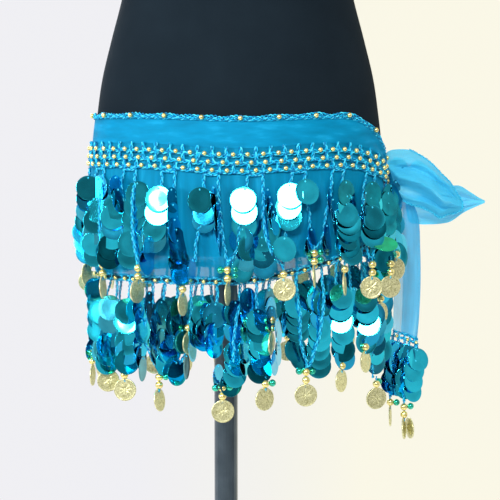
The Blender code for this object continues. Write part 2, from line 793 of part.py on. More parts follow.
def build_tail_fringe(grid):
    """A strip under the hanging end's front layer, with its own strands."""
    edge = [point.copy() for point in grid[-1][:4]]

    lengths = [(after - before).length for before, after in zip(edge, edge[1:])]
    width = sum(lengths)

    def on_edge(share):
        left = share * width
        for i, length in enumerate(lengths):
            if left <= length or i == len(lengths) - 1:
                return edge[i].lerp(edge[i + 1], left / length)
            left -= length

    half = CHAIN_RADIUS / width
    step = TAIL_ROOTS[1] - TAIL_ROOTS[0]
    foremost = min(point.y for point in edge)
    front, shares, strands = Vector((0, -1, 0)), [0.0], {}
    for number, root in enumerate(TAIL_ROOTS):
        shares.append(root - half)
        outer_layer = number % 2 == 1
        layer = TAIL_LAYER if outer_layer else 0.0
        start = on_edge(root)
        drift = Vector(((number - 1.5) * TAIL_SPREAD - TAIL_DRIFT, 0, 0))
        rings = []
        for knob in strand_profile(0.012, outer_layer):
            reach = smooth_step(knob.depth / CHAIN_LENGTH)
            middle = start + drift * reach
            middle.y += (foremost - layer - start.y) * knob.layer - STRIP_THICKNESS / 2
            middle.z = start.z - 2 * TOUCH - STRIP_HEIGHT - knob.depth * 0.86
            narrow = min(knob.half_width, 0.9 * (step * width + TAIL_SPREAD * reach))
            wide = Vector((narrow, 0, 0))
            deep = front * knob.half_depth
            rings.append([middle + deep - wide, middle + deep + wide, middle - deep + wide, middle - deep - wide])
        strands[len(shares) - 1] = rings
        shares.append(root + half)
    shares.append(1.0)
    sections = []
    for share in shares:
        top = on_edge(share) - Vector((0, 0, 2 * TOUCH))
        low = top - Vector((0, 0, STRIP_HEIGHT))
        near, far = front * STRIP_THICKNESS, front * 0.0
        sections.append([top + near, low + near, low + far, top + far])
    add_object("hanging_end_fringe", strip_with_strands(sections, strands), DISCS)


def main():
    clear_scene()
    build_form()
    build_stand()
    build_cloth()
    build_upper_cord()
    split, last = COLUMNS // 2 + 1, COLUMNS - 1
    build_net("net_band_front", 1, split)
    build_net("net_band_back", split + 1, last)
    build_hem_net("hem_edging_front", 1, split)
    build_hem_net("hem_edging_back", split + 1, last)
    roots = {column for column in range(2, last) if is_root(column)}
    for side, first, end in (("front", 2, split), ("back", split + 1, last - 1)):
        build_fringe(f"upper_fringe_{side}", first, end, upper_root_height, UPPER_BARE, True, roots)
        build_fringe(f"lower_fringe_{side}", first, end, lower_root_height, LOWER_BARE, False, roots)
    build_knot()
    belly_sheet("tied_end_flap", FLAP_LINES, 8)
    belly_sheet("tied_end_point", POINT_LINES, 7)
    build_tail_fringe(build_tail())


main()
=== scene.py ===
import math
import random

import bpy
import numpy as np
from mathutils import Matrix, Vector, noise


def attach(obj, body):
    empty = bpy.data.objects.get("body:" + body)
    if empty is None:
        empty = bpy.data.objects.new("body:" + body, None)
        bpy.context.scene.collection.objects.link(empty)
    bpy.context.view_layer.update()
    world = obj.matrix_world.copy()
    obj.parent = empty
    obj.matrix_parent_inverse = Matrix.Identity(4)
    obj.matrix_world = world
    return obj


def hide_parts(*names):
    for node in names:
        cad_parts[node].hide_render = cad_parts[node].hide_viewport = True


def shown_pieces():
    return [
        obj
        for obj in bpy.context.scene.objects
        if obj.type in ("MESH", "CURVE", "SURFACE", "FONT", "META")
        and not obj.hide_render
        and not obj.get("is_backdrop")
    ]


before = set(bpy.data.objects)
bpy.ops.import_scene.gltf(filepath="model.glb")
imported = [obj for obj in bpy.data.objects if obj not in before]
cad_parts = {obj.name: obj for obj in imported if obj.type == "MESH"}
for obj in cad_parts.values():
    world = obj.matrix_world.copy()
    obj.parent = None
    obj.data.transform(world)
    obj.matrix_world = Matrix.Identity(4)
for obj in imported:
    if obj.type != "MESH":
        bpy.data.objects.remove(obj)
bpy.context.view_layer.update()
print("frame loaded")

# the dress form's hip and the scarf's lines, in the frame's metres
formBottom = 0.800
formRows = np.array([  # height over the lower edge, half width, front depth, back depth
    (0.000, 0.1500, 0.0950, 0.1080),
    (0.006, 0.1590, 0.1010, 0.1160),
    (0.025, 0.1640, 0.1045, 0.1200),
    (0.085, 0.1662, 0.1060, 0.1220),
    (0.120, 0.1640, 0.1045, 0.1180),
    (0.155, 0.1600, 0.1015, 0.1110),
    (0.195, 0.1540, 0.0970, 0.1010),
    (0.240, 0.1430, 0.0915, 0.0900),
    (0.2875, 0.1305, 0.0870, 0.0820),
    (0.330, 0.1230, 0.0855, 0.0780),
    (0.370, 0.1235, 0.0890, 0.0780),
    (0.425, 0.1330, 0.1010, 0.0830),
    (0.475, 0.1440, 0.1170, 0.0890),
    (0.515, 0.1500, 0.1230, 0.0930),
    (0.560, 0.1530, 0.1130, 0.0960),
    (0.605, 0.1640, 0.0890, 0.0950),
    (0.645, 0.1740, 0.0700, 0.0860),
    (0.668, 0.1640, 0.0590, 0.0760),
    (0.688, 0.1300, 0.0530, 0.0690),
    (0.706, 0.0900, 0.0520, 0.0640),
    (0.724, 0.0660, 0.0510, 0.0590),
    (0.748, 0.0560, 0.0480, 0.0560),
    (0.782, 0.0530, 0.0460, 0.0540),
])
scarf = dict(
    columns=57,  # net columns round the hip, counted from the knot over the front
    knotArc=0.2302, fullest=0.080, leavesForm=0.010, taper=0.12,
    top=0.1475, tab=0.1189, bars=(0.1096, 0.1009, 0.0922), hem=-0.0222,
    raised=0.0055, sag=0.0060, sagAngle=24.0, topShare=0.65,
    # each line is drawn to the knot: how far at it, from how many columns away, how sharply
    topDraw=(-0.062, 6.5, 1.6), tabDraw=(-0.038, 7.5, 1.8),
    barDraw=(-0.030, 7.5, 1.8), hemDraw=(0.062, 15.0, 1.5),
    knotHeight=0.0850,
    knotClear=0.6, backFrom=28.8,  # columns that the crochet leaves free, and where the back's pieces start
    plumbFrom=0.050,  # under this height the upper fringe hangs plumb
)
columns = scarf["columns"]
halves = (("Front", scarf["knotClear"], scarf["backFrom"]),
          ("Back", scarf["backFrom"], columns - scarf["knotClear"]))
upWay = np.array([0.0, 0.0, 1.0])
frontFacing = np.array([0.0, -1.0, 0.0])


def unit(v):
    return v / np.maximum(1e-9, np.linalg.norm(v, axis=-1, keepdims=True))


def hermite(rows, at):
    # the same smooth curve through the rows that the solid has
    x = rows[:, 0]
    slopes = np.array([(rows[min(len(x) - 1, i + 1)] - rows[max(0, i - 1)])[1:]
                       / (x[min(len(x) - 1, i + 1)] - x[max(0, i - 1)]) for i in range(len(x))])
    i = np.clip(np.searchsorted(x, at, side="right") - 1, 0, len(x) - 2)
    span = (x[i + 1] - x[i])[:, None]
    t = ((at - x[i]) / span[:, 0])[:, None]
    return (rows[i, 1:] * (2 * t**3 - 3 * t**2 + 1) + slopes[i] * span * (t**3 - 2 * t**2 + t)
            + rows[i + 1, 1:] * (3 * t**2 - 2 * t**3) + slopes[i + 1] * span * (t**3 - t**2))


sizeHeights = np.linspace(formRows[0, 0], formRows[-1, 0], 784)  # about one each millimetre
sizeTable = hermite(formRows, sizeHeights)


def sizesAt(height):
    return [np.interp(height, sizeHeights, sizeTable[:, i]) for i in range(3)]


def hipArcs():
    # the way round the fullest hip, from the middle of the front, for each degree
    w, f, b = (float(v) for v in sizesAt(scarf["fullest"]))
    turn = np.radians(np.arange(-180, 181))
    depth = np.where(np.cos(turn) > 0, f, b)
    line = np.stack([w * np.sin(turn), -depth * np.cos(turn)], 1)
    arcs = np.concatenate([[0], np.cumsum(np.linalg.norm(np.diff(line, axis=0), axis=1))])
    return arcs - arcs[180]


arcTable = hipArcs()
perimeter = arcTable[-1] - arcTable[0]
pitch = perimeter / columns


def angleAt(u):
    arc = scarf["knotArc"] - np.asarray(u, float) * pitch
    arc = (arc - arcTable[0]) % perimeter + arcTable[0]
    return np.radians(np.interp(arc, arcTable, np.arange(-180, 181)))


def fromKnot(u):
    u = np.asarray(u, float) % columns
    return np.minimum(u, columns - u)


def drawn(draw, u):
    return draw[0] * np.maximum(0, 1 - fromKnot(u) / draw[1]) ** draw[2]


def linesAt(u):
    # heights of the scarf's own lines: upper edge, tabs, three bars, hem
    turn = np.degrees(angleAt(u))
    rise = scarf["raised"] - scarf["sag"] * np.exp(-((turn / scarf["sagAngle"]) ** 2))
    tab, low = drawn(scarf["tabDraw"], u), drawn(scarf["barDraw"], u)
    lowest = scarf["bars"][2]
    bars = [formBottom + h + rise + low + (tab - low) * (h - lowest) / (scarf["tab"] - lowest)
            for h in scarf["bars"]]
    return dict(top=formBottom + scarf["top"] + rise * scarf["topShare"] + drawn(scarf["topDraw"], u),
                tab=formBottom + scarf["tab"] + rise + tab, bars=bars,
                hem=formBottom + scarf["hem"] + drawn(scarf["hemDraw"], u))


def outwardAt(u):
    a = angleAt(u)
    w, f, b = (float(v) for v in sizesAt(scarf["fullest"]))
    return unit(np.stack([np.where(np.cos(a) > 0, f, b) * np.sin(a), -w * np.cos(a), np.zeros_like(a)], -1))


def skin(u, z, out, straight=None):
    # points over the form, moved out from it; straight is the height from which they hang plumb
    u, z, out = np.broadcast_arrays(np.asarray(u, float), np.asarray(z, float), np.asarray(out, float))
    h = z - formBottom
    if straight is not None:
        h = np.maximum(h, straight)
    level = np.maximum(h, scarf["leavesForm"])
    w, f, b = sizesAt(level)
    a = angleAt(u)
    depth = np.where(np.cos(a) > 0, f, b)
    n = unit(np.stack([depth * np.sin(a), -w * np.cos(a)], -1))
    off = out - (level - h) * scarf["taper"]
    return np.stack([w * np.sin(a) + off * n[..., 0], -depth * np.cos(a) + off * n[..., 1], z], -1)


def smooth(t):
    t = np.clip(t, 0, 1)
    return t * t * (3 - 2 * t)


# materials

def newMaterial(name, base, roughness, metallic=0.0, **sockets):
    made = bpy.data.materials.new(name)
    made.use_nodes = True
    shader = made.node_tree.nodes["Principled BSDF"]
    shader.inputs["Base Color"].default_value = (*base, 1)
    shader.inputs["Roughness"].default_value = roughness
    shader.inputs["Metallic"].default_value = metallic
    for key, value in sockets.items():
        shader.inputs[key.replace("_", " ")].default_value = value
    return made, made.node_tree.nodes, made.node_tree.links, shader


def addNoise(nodes, links, coords, scale, detail=3.0, stretch=(1, 1, 1)):
    place = nodes.new("ShaderNodeMapping")
    place.inputs["Scale"].default_value = stretch
    links.new(coords, place.inputs["Vector"])
    made = nodes.new("ShaderNodeTexNoise")
    made.inputs["Scale"].default_value = scale
    made.inputs["Detail"].default_value = detail
    links.new(place.outputs["Vector"], made.inputs["Vector"])
    return made.outputs["Fac"]


def addRamp(nodes, links, fac, stops):
    ramp = nodes.new("ShaderNodeValToRGB")
    for element, (at, colour) in zip(ramp.color_ramp.elements, (stops[0], stops[-1])):
        element.position, element.color = at, (*colour, 1)
    for at, colour in stops[1:-1]:
        ramp.color_ramp.elements.new(at).color = (*colour, 1)
    links.new(fac, ramp.inputs["Fac"])
    return ramp.outputs["Color"]


def addBump(nodes, links, shader, height, strength, distance):
    bump = nodes.new("ShaderNodeBump")
    bump.inputs["Strength"].default_value = strength
    bump.inputs["Distance"].default_value = distance
    links.new(height, bump.inputs["Height"])
    links.new(bump.outputs["Normal"], shader.inputs["Normal"])


def addMath(nodes, links, kind, *values):
    made = nodes.new("ShaderNodeMath")
    made.operation = kind
    for socket, value in zip(made.inputs, values):
        if isinstance(value, (int, float)):
            socket.default_value = value
        else:
            links.new(value, socket)
    return made.outputs[0]


def chiffon(name, look):
    # fine crossed threads with clear gaps between them, streaks of painted fold shade and light over the
    # cloth's uneven tone, and light let through
    made, nodes, links, shader = newMaterial(name, look["base"], 0.60, Specular_IOR_Level=0.10)
    uv = nodes.new("ShaderNodeTexCoord").outputs["UV"]
    waves = []
    for direction in ("X", "Y"):
        wave = nodes.new("ShaderNodeTexWave")
        wave.bands_direction = direction
        wave.inputs["Scale"].default_value = look["threads"]
        wave.inputs["Distortion"].default_value = 0.6
        wave.inputs["Detail"].default_value = 1.0
        links.new(uv, wave.inputs["Vector"])
        waves.append(wave.outputs["Fac"])
    weave = addMath(nodes, links, "MULTIPLY", waves[0], waves[1])
    streaks = addNoise(nodes, links, uv, 1.0, 4.0, look["streaks"])
    # painted shade and light: the streak noise darkens the colour towards shade and lightens it towards light,
    # in bands that stand in for the shading of folds
    colour = addRamp(nodes, links, streaks, [
        (0.32, tuple(c * look["shade"] for c in look["base"])), (0.55, look["base"]), (0.74, look["light"])])
    links.new(colour, shader.inputs["Base Color"])
    addBump(nodes, links, shader, weave, 0.35, 0.0004)
    glow = nodes.new("ShaderNodeBsdfTranslucent")
    links.new(colour, glow.inputs["Color"])
    body = nodes.new("ShaderNodeMixShader")
    body.inputs["Fac"].default_value = look["glow"]
    links.new(shader.outputs["BSDF"], body.inputs[1])
    links.new(glow.outputs["BSDF"], body.inputs[2])
    clear = nodes.new("ShaderNodeBsdfTransparent")
    cover = addMath(nodes, links, "MULTIPLY_ADD", weave, -look["gaps"], look["cover"])
    mixed = nodes.new("ShaderNodeMixShader")
    links.new(cover, mixed.inputs["Fac"])
    links.new(clear.outputs["BSDF"], mixed.inputs[1])
    links.new(body.outputs["Shader"], mixed.inputs[2])
    links.new(mixed.outputs["Shader"], nodes["Material Output"].inputs["Surface"])
    return made


chiffonLook = dict(base=(0.0, 0.345, 0.640), light=(0.01, 0.48, 0.83), threads=260.0, streaks=(26, 110, 1),
                   glow=0.30, gaps=0.16, cover=0.74, shade=0.80)
singleLayer = chiffon("chiffonSingle", dict(chiffonLook, streaks=(85, 9, 1), cover=0.89))
doubleLayer = chiffon("chiffonDouble", dict(chiffonLook, cover=0.95, gaps=0.06))
# painted light: the tied end is the same chiffon, given a much paler copy of its colour for the light that
# shines on it and through it
paintedLightLayer = chiffon("chiffonPaintedLight", dict(
    chiffonLook, base=(0.09, 0.70, 1.0), light=(0.46, 0.94, 1.0), streaks=(8, 26, 1),
    glow=0.35, gaps=0.10, cover=0.95, shade=0.84))
# painted light: the hanging end is the same chiffon too, given a paler copy of its colour for the light that
# comes through it
tailLayer = chiffon("chiffonTail", dict(
    chiffonLook, base=(0.05, 0.56, 0.90), light=(0.24, 0.80, 1.0), streaks=(90, 8, 1),
    glow=0.36, cover=0.72, shade=0.70))


def mottled(name, base, roughness, metallic, blotches, stops, bump=None, grain=None, **sockets):
    # a finish whose colour wanders: blotches and grain are a noise's size, detail and stretch, and the
    # bump's strength and depth are on the grain where there is one, or else on the blotches
    made, nodes, links, shader = newMaterial(name, base, roughness, metallic, **sockets)
    coords = nodes.new("ShaderNodeTexCoord").outputs["Object"]
    wander = addNoise(nodes, links, coords, *blotches)
    links.new(addRamp(nodes, links, wander, stops), shader.inputs["Base Color"])
    if bump:
        addBump(nodes, links, shader, addNoise(nodes, links, coords, *grain) if grain else wander, *bump)
    return made


def thread(name, base, light):
    return mottled(name, base, 0.60, 0.0, (900.0, 2.0), [(0.35, base), (0.68, light)],
                   bump=(0.5, 0.0003), Specular_IOR_Level=0.25)


# painted highlight and shade: one yarn in a shaded, a highlit and a middle copy, one to each ply of a braid;
# the knots on the discs take the highlit one
threads = [thread("threadPaintedShadePly", (0.0, 0.16, 0.38), (0.0, 0.26, 0.54)),
           thread("threadPaintedHighlightPly", (0.01, 0.62, 0.92), (0.12, 0.80, 1.0)),
           thread("threadPaintedMidPly", (0.0, 0.38, 0.70), (0.0, 0.52, 0.86))]
# painted shadow: a near-black colour for a tube behind the hem's open stitches, where there is only shade
paintedHemShadow = thread("hemPaintedShadow", (0.0, 0.020, 0.040), (0.0, 0.055, 0.095))


def foil(name, base, light, roughness, coat=0.25):
    return mottled(name, base, roughness, 1.0, (60.0, 2.0), [(0.3, base), (0.7, light)],
                   Coat_Weight=coat, Coat_Roughness=0.03)


foils = [foil("foilTurquoise", (0.018, 0.58, 0.77), (0.026, 0.73, 0.94), 0.09),
         foil("foilBlue", (0.018, 0.47, 0.80), (0.026, 0.62, 0.95), 0.12),
         # painted shade: a darker copy of the turquoise foil, for discs that stand in for unlit ones
         foil("foilPaintedShade", (0.004, 0.19, 0.27), (0.008, 0.36, 0.48), 0.12, 0.05),
         foil("foilSky", (0.05, 0.60, 0.84), (0.09, 0.72, 0.95), 0.14),
         foil("foilGreen", (0.0, 0.30, 0.17), (0.0, 0.52, 0.27), 0.10)]

gold = mottled("goldBead", (0.95, 0.78, 0.36), 0.26, 0.8, (420.0, 2.0),
               [(0.3, (0.90, 0.72, 0.20)), (0.7, (1.0, 0.90, 0.42))], Coat_Weight=0.4, Coat_Roughness=0.05)
green = mottled("greenBead", (0.0, 0.50, 0.32), 0.14, 0.7, (300.0, 1.0),
                [(0.3, (0.0, 0.34, 0.22)), (0.7, (0.0, 0.66, 0.44))], Coat_Weight=1.0, Coat_Roughness=0.03)
coinMetal = mottled("coinPale", (0.80, 0.76, 0.38), 0.36, 0.7, (700.0, 3.0),
                    [(0.32, (0.46, 0.43, 0.17)), (0.60, (0.90, 0.87, 0.50))],
                    bump=(0.55, 0.0005), Specular_IOR_Level=0.8)
jersey = mottled("jersey", (0.007, 0.014, 0.021), 0.90, 0.0, (9.0, 3.0),
                 [(0.3, (0.0055, 0.0110, 0.0170)), (0.7, (0.0090, 0.0170, 0.0250))],
                 bump=(0.5, 0.0005), grain=(1400.0, 2.0, (1, 1, 0.35)), Specular_IOR_Level=0.08)
standMetal = mottled("standMetal", (0.06, 0.085, 0.105), 0.34, 0.55, (40.0, 5.0),
                     [(0.3, (0.045, 0.065, 0.082)), (0.75, (0.085, 0.115, 0.140))],
                     bump=(0.12, 0.0003), grain=(500.0, 2.0), Coat_Weight=0.3)
print("materials mixed")


# mesh tools

class Bits:
    # gathers many small bodies into one mesh
    def __init__(self):
        self.points, self.faces, self.kinds, self.count = [], [], [], 0

    def add(self, points, faces, kind=0):
        self.points.append(np.asarray(points, float))
        self.faces.extend((np.asarray(f) + self.count).tolist() for f in faces)
        self.kinds.append(np.full(sum(len(f) for f in faces), kind))
        self.count += len(points)

    def make(self, name, materials, slotName, replaced=()):
        mesh = bpy.data.meshes.new(name)
        mesh.from_pydata(np.concatenate(self.points).tolist(), [], [f for group in self.faces for f in group])
        for m in materials:
            mesh.materials.append(m)
        mesh.polygons.foreach_set("material_index", np.concatenate(self.kinds).astype(np.int32))
        mesh.polygons.foreach_set("use_smooth", np.full(len(mesh.polygons), True))
        return place(name, mesh, slotName, replaced)


def place(name, mesh, slotName, replaced=()):
    made = bpy.data.objects.new(name, mesh)
    bpy.context.scene.collection.objects.link(made)
    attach(made, "root")
    if replaced:
        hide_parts(*replaced)
    return made


def gridFaces(n, m, aroundN=False, aroundM=False):
    i = np.arange(n if aroundN else n - 1)
    j = np.arange(m if aroundM else m - 1)
    i, j = np.meshgrid(i, j, indexing="ij")
    ii, jj = (i + 1) % n, (j + 1) % m
    return np.stack([i * m + j, ii * m + j, ii * m + jj, i * m + jj], -1).reshape(-1, 4)


def sheetMesh(name, points, uv, around=False):
    n, m = points.shape[:2]
    mesh = bpy.data.meshes.new(name)
    faces = gridFaces(n, m, around)
    mesh.from_pydata(points.reshape(-1, 3).tolist(), [], faces.tolist())
    layer = mesh.uv_layers.new(name="cloth")
    flat = uv.reshape(-1, 2)[faces.reshape(-1)]
    if around:  # the last column of cells ends a whole turn on
        cells = flat.reshape(-1, 4, 2)
        last = cells[-(m - 1):]
        last[:, 1:3, 0] += uv[-1, 0, 0] + uv[1, 0, 0]
    layer.data.foreach_set("uv", flat.reshape(-1))
    mesh.polygons.foreach_set("use_smooth", np.full(len(mesh.polygons), True))
    return mesh


def sweep(bits, centres, normals, sides, radius, kind):
    along = unit(np.gradient(centres, axis=0))
    across = unit(np.cross(along, normals))
    up = np.cross(across, along)
    turn = (2 * np.pi * np.arange(sides) / sides)[None, :, None]
    ring = centres[:, None] + radius * (np.cos(turn) * up[:, None] + np.sin(turn) * across[:, None])
    bits.add(ring.reshape(-1, 3), [gridFaces(len(centres), sides, False, True)], kind)


def resample(path, step):
    path = np.asarray(path, float)
    lengths = np.concatenate([[0], np.cumsum(np.linalg.norm(np.diff(path[:, :3], axis=0), axis=1))])
    count = max(4, int(round(lengths[-1] / step)) + 1)
    at = np.linspace(0, lengths[-1], count)
    return np.stack([np.interp(at, lengths, path[:, k]) for k in range(path.shape[1])], 1), at


chain = dict(wide=0.00132, deep=0.00080, ply=0.00070, period=0.0132, samples=9, sides=4,
             uneven=0.45, stray=0.00045, waves=(410, 173, 263))  # radians a metre: two tighten, one strays


def braid(bits, path, normals, look=chain, size=1.0, phase=0.0):
    # three plies that pass over one another, as a crocheted chain looks, with uneven stitches
    both, at = resample(np.hstack([path, normals]), look["period"] * size / look["samples"])
    centre, n = both[:, :3], unit(both[:, 3:])
    across = unit(np.cross(unit(np.gradient(centre, axis=0)), n))
    first, second, third = look["waves"]
    stray = look["stray"] * look["uneven"] * np.sin(at * third + 5 * phase)
    for ply in range(3):
        turn = 2 * np.pi * (at / (look["period"] * size) + ply / 3 + phase)
        tight = 1 + look["uneven"] * np.sin(at * first + 2.4 * ply + 9 * phase) * np.sin(at * second + phase)
        side = look["wide"] * size * tight * np.sin(turn) + stray
        over = look["deep"] * size * tight * np.sin(2 * turn)
        line = centre + side[:, None] * across + over[:, None] * n
        # each ply takes its own material slot, so the yarn's shaded, highlit and middle copies paint shade and
        # highlight ply by ply
        sweep(bits, line, n, look["sides"], look["ply"] * size, ply)


def ballProto(segments, rings):
    tilt = np.pi * (np.arange(rings + 1)) / rings
    turn = 2 * np.pi * np.arange(segments) / segments
    points = np.stack([np.outer(np.sin(tilt), np.cos(turn)), np.outer(np.sin(tilt), np.sin(turn)),
                       np.outer(np.cos(tilt), np.ones(segments))], -1).reshape(-1, 3)
    return points, gridFaces(rings + 1, segments, False, True)


tinyBall, smallBall, largeBall = ballProto(6, 4), ballProto(10, 7), ballProto(14, 10)


def addBead(bits, centre, radius, kind=0, ball=largeBall, squash=1.0):
    bits.add(np.asarray(centre) + ball[0] * radius * np.array([1, 1, squash]), [ball[1]], kind)


def turnedDisc(profile, segments):
    # a closed turned body: (radius, height) pairs from the middle of one face to the middle of the other
    turn = 2 * np.pi * np.arange(segments) / segments
    points = np.concatenate([[(r * math.cos(t), r * math.sin(t), h) for t in turn] for r, h in profile])
    return points, gridFaces(len(profile), segments, False, True)


def frameFrom(normal, up):
    normal = normal / np.linalg.norm(normal)
    side = np.cross(up, normal)
    side /= np.linalg.norm(side)
    return np.stack([side, np.cross(normal, side), normal])  # rows: x, y (towards the hole), z


def rotated(vector, axis, degrees):
    a = math.radians(degrees)
    axis = axis / np.linalg.norm(axis)
    along = axis * np.dot(axis, vector)
    return vector * math.cos(a) + np.cross(axis, vector) * math.sin(a) + along * (1 - math.cos(a))


# the dress form's cover and the stand
for nodeName in ("stand_pole", "stand_base"):
    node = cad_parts[nodeName]
    node.data.materials.clear()
    node.data.materials.append(standMetal)

formLook = dict(around=96, rows=150, edgeRows=(0.0006, 0.0015, 0.003, 0.0045, 0.7795, 0.7808, 0.7816),
                seams=(0, 90, 180, 270), seamDepth=0.0007, seamWidth=0.0016, meanRadius=0.12,
                capRings=((1, 0), (0.985, 0.0002), (0.6, 0.0003), (0.02, 0.0)))  # share of the rim, rise


def buildForm():
    turn = 2 * np.pi * np.arange(formLook["around"]) / formLook["around"]
    heights = np.linspace(0, formRows[-1, 0], formLook["rows"])
    heights = np.sort(np.concatenate([heights, formLook["edgeRows"]]))
    w, f, b = sizesAt(heights)
    depth = np.where(np.cos(turn)[None] > 0, f[:, None], b[:, None])
    x, y = w[:, None] * np.sin(turn)[None], -depth * np.cos(turn)[None]
    points = np.stack([x, y, np.broadcast_to((formBottom + heights)[:, None], x.shape)], -1)
    # panel seams down the middle of the front and back and at both sides sink a little
    seam = np.zeros_like(x)
    for at in formLook["seams"]:
        away = np.abs((np.degrees(turn) - at + 180) % 360 - 180) * math.pi / 180 * formLook["meanRadius"]
        seam += np.exp(-((away / formLook["seamWidth"]) ** 2))[None]
    n = unit(np.stack([depth * np.sin(turn)[None], -w[:, None] * np.cos(turn)[None], np.zeros_like(x)], -1))
    points = points - n * (seam * formLook["seamDepth"])[..., None]
    bits = Bits()
    bits.add(points.reshape(-1, 3), [gridFaces(len(heights), formLook["around"], False, True)])
    for row, domed in ((0, 0), (len(heights) - 1, 1)):  # flat underside, neck cap a little domed
        rim = points[row]
        middle = rim.mean(0)
        rings = [middle + (rim - middle) * s + upWay * (rise * domed) for s, rise in formLook["capRings"]]
        bits.add(np.concatenate(rings), [gridFaces(len(rings), formLook["around"], False, True)])
    return bits.make("formCover", [jersey], "black_jersey", ["form_body"])


buildForm()
print("dress form covered")

# the wrap
foldRows = np.array([  # column, half width in columns, depth at the hem
    (4.2, 1.6, 0.0030), (7.6, 1.8, 0.0042), (10.4, 1.3, 0.0030), (13.3, 1.7, 0.0045), (15.9, 1.2, 0.0034),
    (18.6, 1.6, 0.0052), (21.8, 1.9, 0.0036), (25.4, 1.5, 0.0048), (28.3, 1.8, 0.0034), (31.9, 1.5, 0.0050),
    (35.0, 2.0, 0.0038), (38.7, 1.6, 0.0046), (41.6, 1.4, 0.0030), (44.9, 1.8, 0.0052), (48.3, 1.6, 0.0036),
    (51.4, 1.5, 0.0044)])
wrapLook = dict(perColumn=9, rows=60, out=0.0012,
                bandRows=18, bandOver=0.0007, bandTop=0.0004, bandLow=-0.0012,
                gather=0.0030, gatherColumns=4.0, gathers=6.0, ripple=0.0005, netPress=0.8, netReach=0.014,
                pleats=46, pleatDepth=0.0026, pleatShares=(0.3, 1.0), pleatWidths=(0.30, 0.75),
                pleatWander=0.35, pleatStart=0.030)


def troughs(u, rows):
    # soft folds side by side; each row is a column, a half width in columns and a depth
    away = np.abs((u % columns)[..., None] - rows[:, 0]) / rows[:, 1]
    return (rows[:, 2] * np.where(away < 1, np.cos(np.minimum(away, 1) * np.pi / 2) ** 2, 0)).sum(-1)


def foldsAt(u):
    return troughs(np.asarray(u, float), foldRows)


pleatRng = random.Random(4)
pleatRows = np.array([
    (pleatRng.uniform(2, columns - 2), pleatRng.uniform(*wrapLook["pleatWidths"]),
     pleatRng.uniform(*wrapLook["pleatShares"]) * wrapLook["pleatDepth"]) for _ in range(wrapLook["pleats"])])


def pleatsAt(u, z):
    # narrow uneven folds between the large ones; they wander a little on the way down
    fall = linesAt(u)["bars"][2] - z
    drift = u + wrapLook["pleatWander"] * np.sin(fall * 38 + u * 1.3)
    return troughs(drift, pleatRows) * smooth(fall / wrapLook["pleatStart"])


def growth(u, z):
    # the large folds start under the net and are full at the hem
    return np.clip((linesAt(u)["bars"][2] - z) / (scarf["bars"][2] - scarf["hem"]), 0, 1) ** 0.8


def rippled(u, z):
    spots = zip(u.ravel(), z.ravel())
    return np.array([noise.noise(Vector((a * 0.9, b * 42.0, 3.1))) for a, b in spots]).reshape(u.shape)


def wrapOut(u, z, over):
    lines = linesAt(u)
    share = np.clip((lines["top"] - z) / (lines["top"] - lines["hem"]), 0, 1)
    nearKnot = np.exp(-((fromKnot(u) / wrapLook["gatherColumns"]) ** 2))
    wave = 0.5 - 0.5 * np.cos(2 * np.pi * wrapLook["gathers"] * share ** 0.8)
    gather = wrapLook["gather"] * nearKnot * wave
    loose = 1 - wrapLook["netPress"] * np.exp(-(((z - lines["bars"][1]) / wrapLook["netReach"]) ** 2))
    ripple = wrapLook["ripple"] * rippled(u, z) * loose
    return wrapLook["out"] + over + foldsAt(u) * growth(u, z) + pleatsAt(u, z) + gather * loose + ripple


def wrapSheet(name, topShift, lowLine, lowShift, rows, over, material, replaced=()):
    # the cloth between the scarf's top line and another of its lines, each moved a little
    u = np.arange(columns * wrapLook["perColumn"]) / wrapLook["perColumn"]
    lines = linesAt(u)
    low = lines[lowLine] + lowShift
    uGrid = np.broadcast_to(u[:, None], (len(u), rows))
    zGrid = ((lines["top"] + topShift)[:, None]
             + (low - lines["top"] - topShift)[:, None] * np.linspace(0, 1, rows)[None])
    points = skin(uGrid, zGrid, wrapOut(uGrid, zGrid, over))
    mesh = sheetMesh(name, points, np.stack([uGrid * pitch, zGrid], -1), around=True)
    mesh.materials.append(material)
    return place(name, mesh, "chiffon", replaced)


def areaOf(piece):
    return sum(p.area for p in piece.data.polygons)


wrap = wrapSheet("wrapCloth", 0.0, "hem", 0.0, wrapLook["rows"], 0.0, singleLayer, ["scarf_cloth"])
band = wrapSheet("wrapTopBand", wrapLook["bandTop"], "tab", wrapLook["bandLow"], wrapLook["bandRows"],
                 wrapLook["bandOver"], doubleLayer)
print("wrap", round(areaOf(wrap), 4), "band", round(areaOf(band), 4))

# crochet: upper edge, net band, hem edging
cordLook = dict(chain, wide=0.00175, deep=0.00110, period=0.0138)
crochetLook = dict(
    topStitches=21, topPhase=0.36, topRise=0.0012, topOut=0.0018, topGold=0.0027, topGoldRise=0.0022,
    topGoldOut=0.0042, scallop=0.0018, loops=0.0030, loopsOut=0.0016,
    netOut=0.0034, netSize=1.16, netGold=0.0026, goldRise=0.0016, wobble=0.0004, rootLink=0.0034,
    hemCells=63, hemStart=0.0006, hemDrop=0.0062, hemGold=0.0024, hemShadowRadius=0.0022,
)


def ringPath(u, z, out):
    return skin(u, z, out), outwardAt(u)


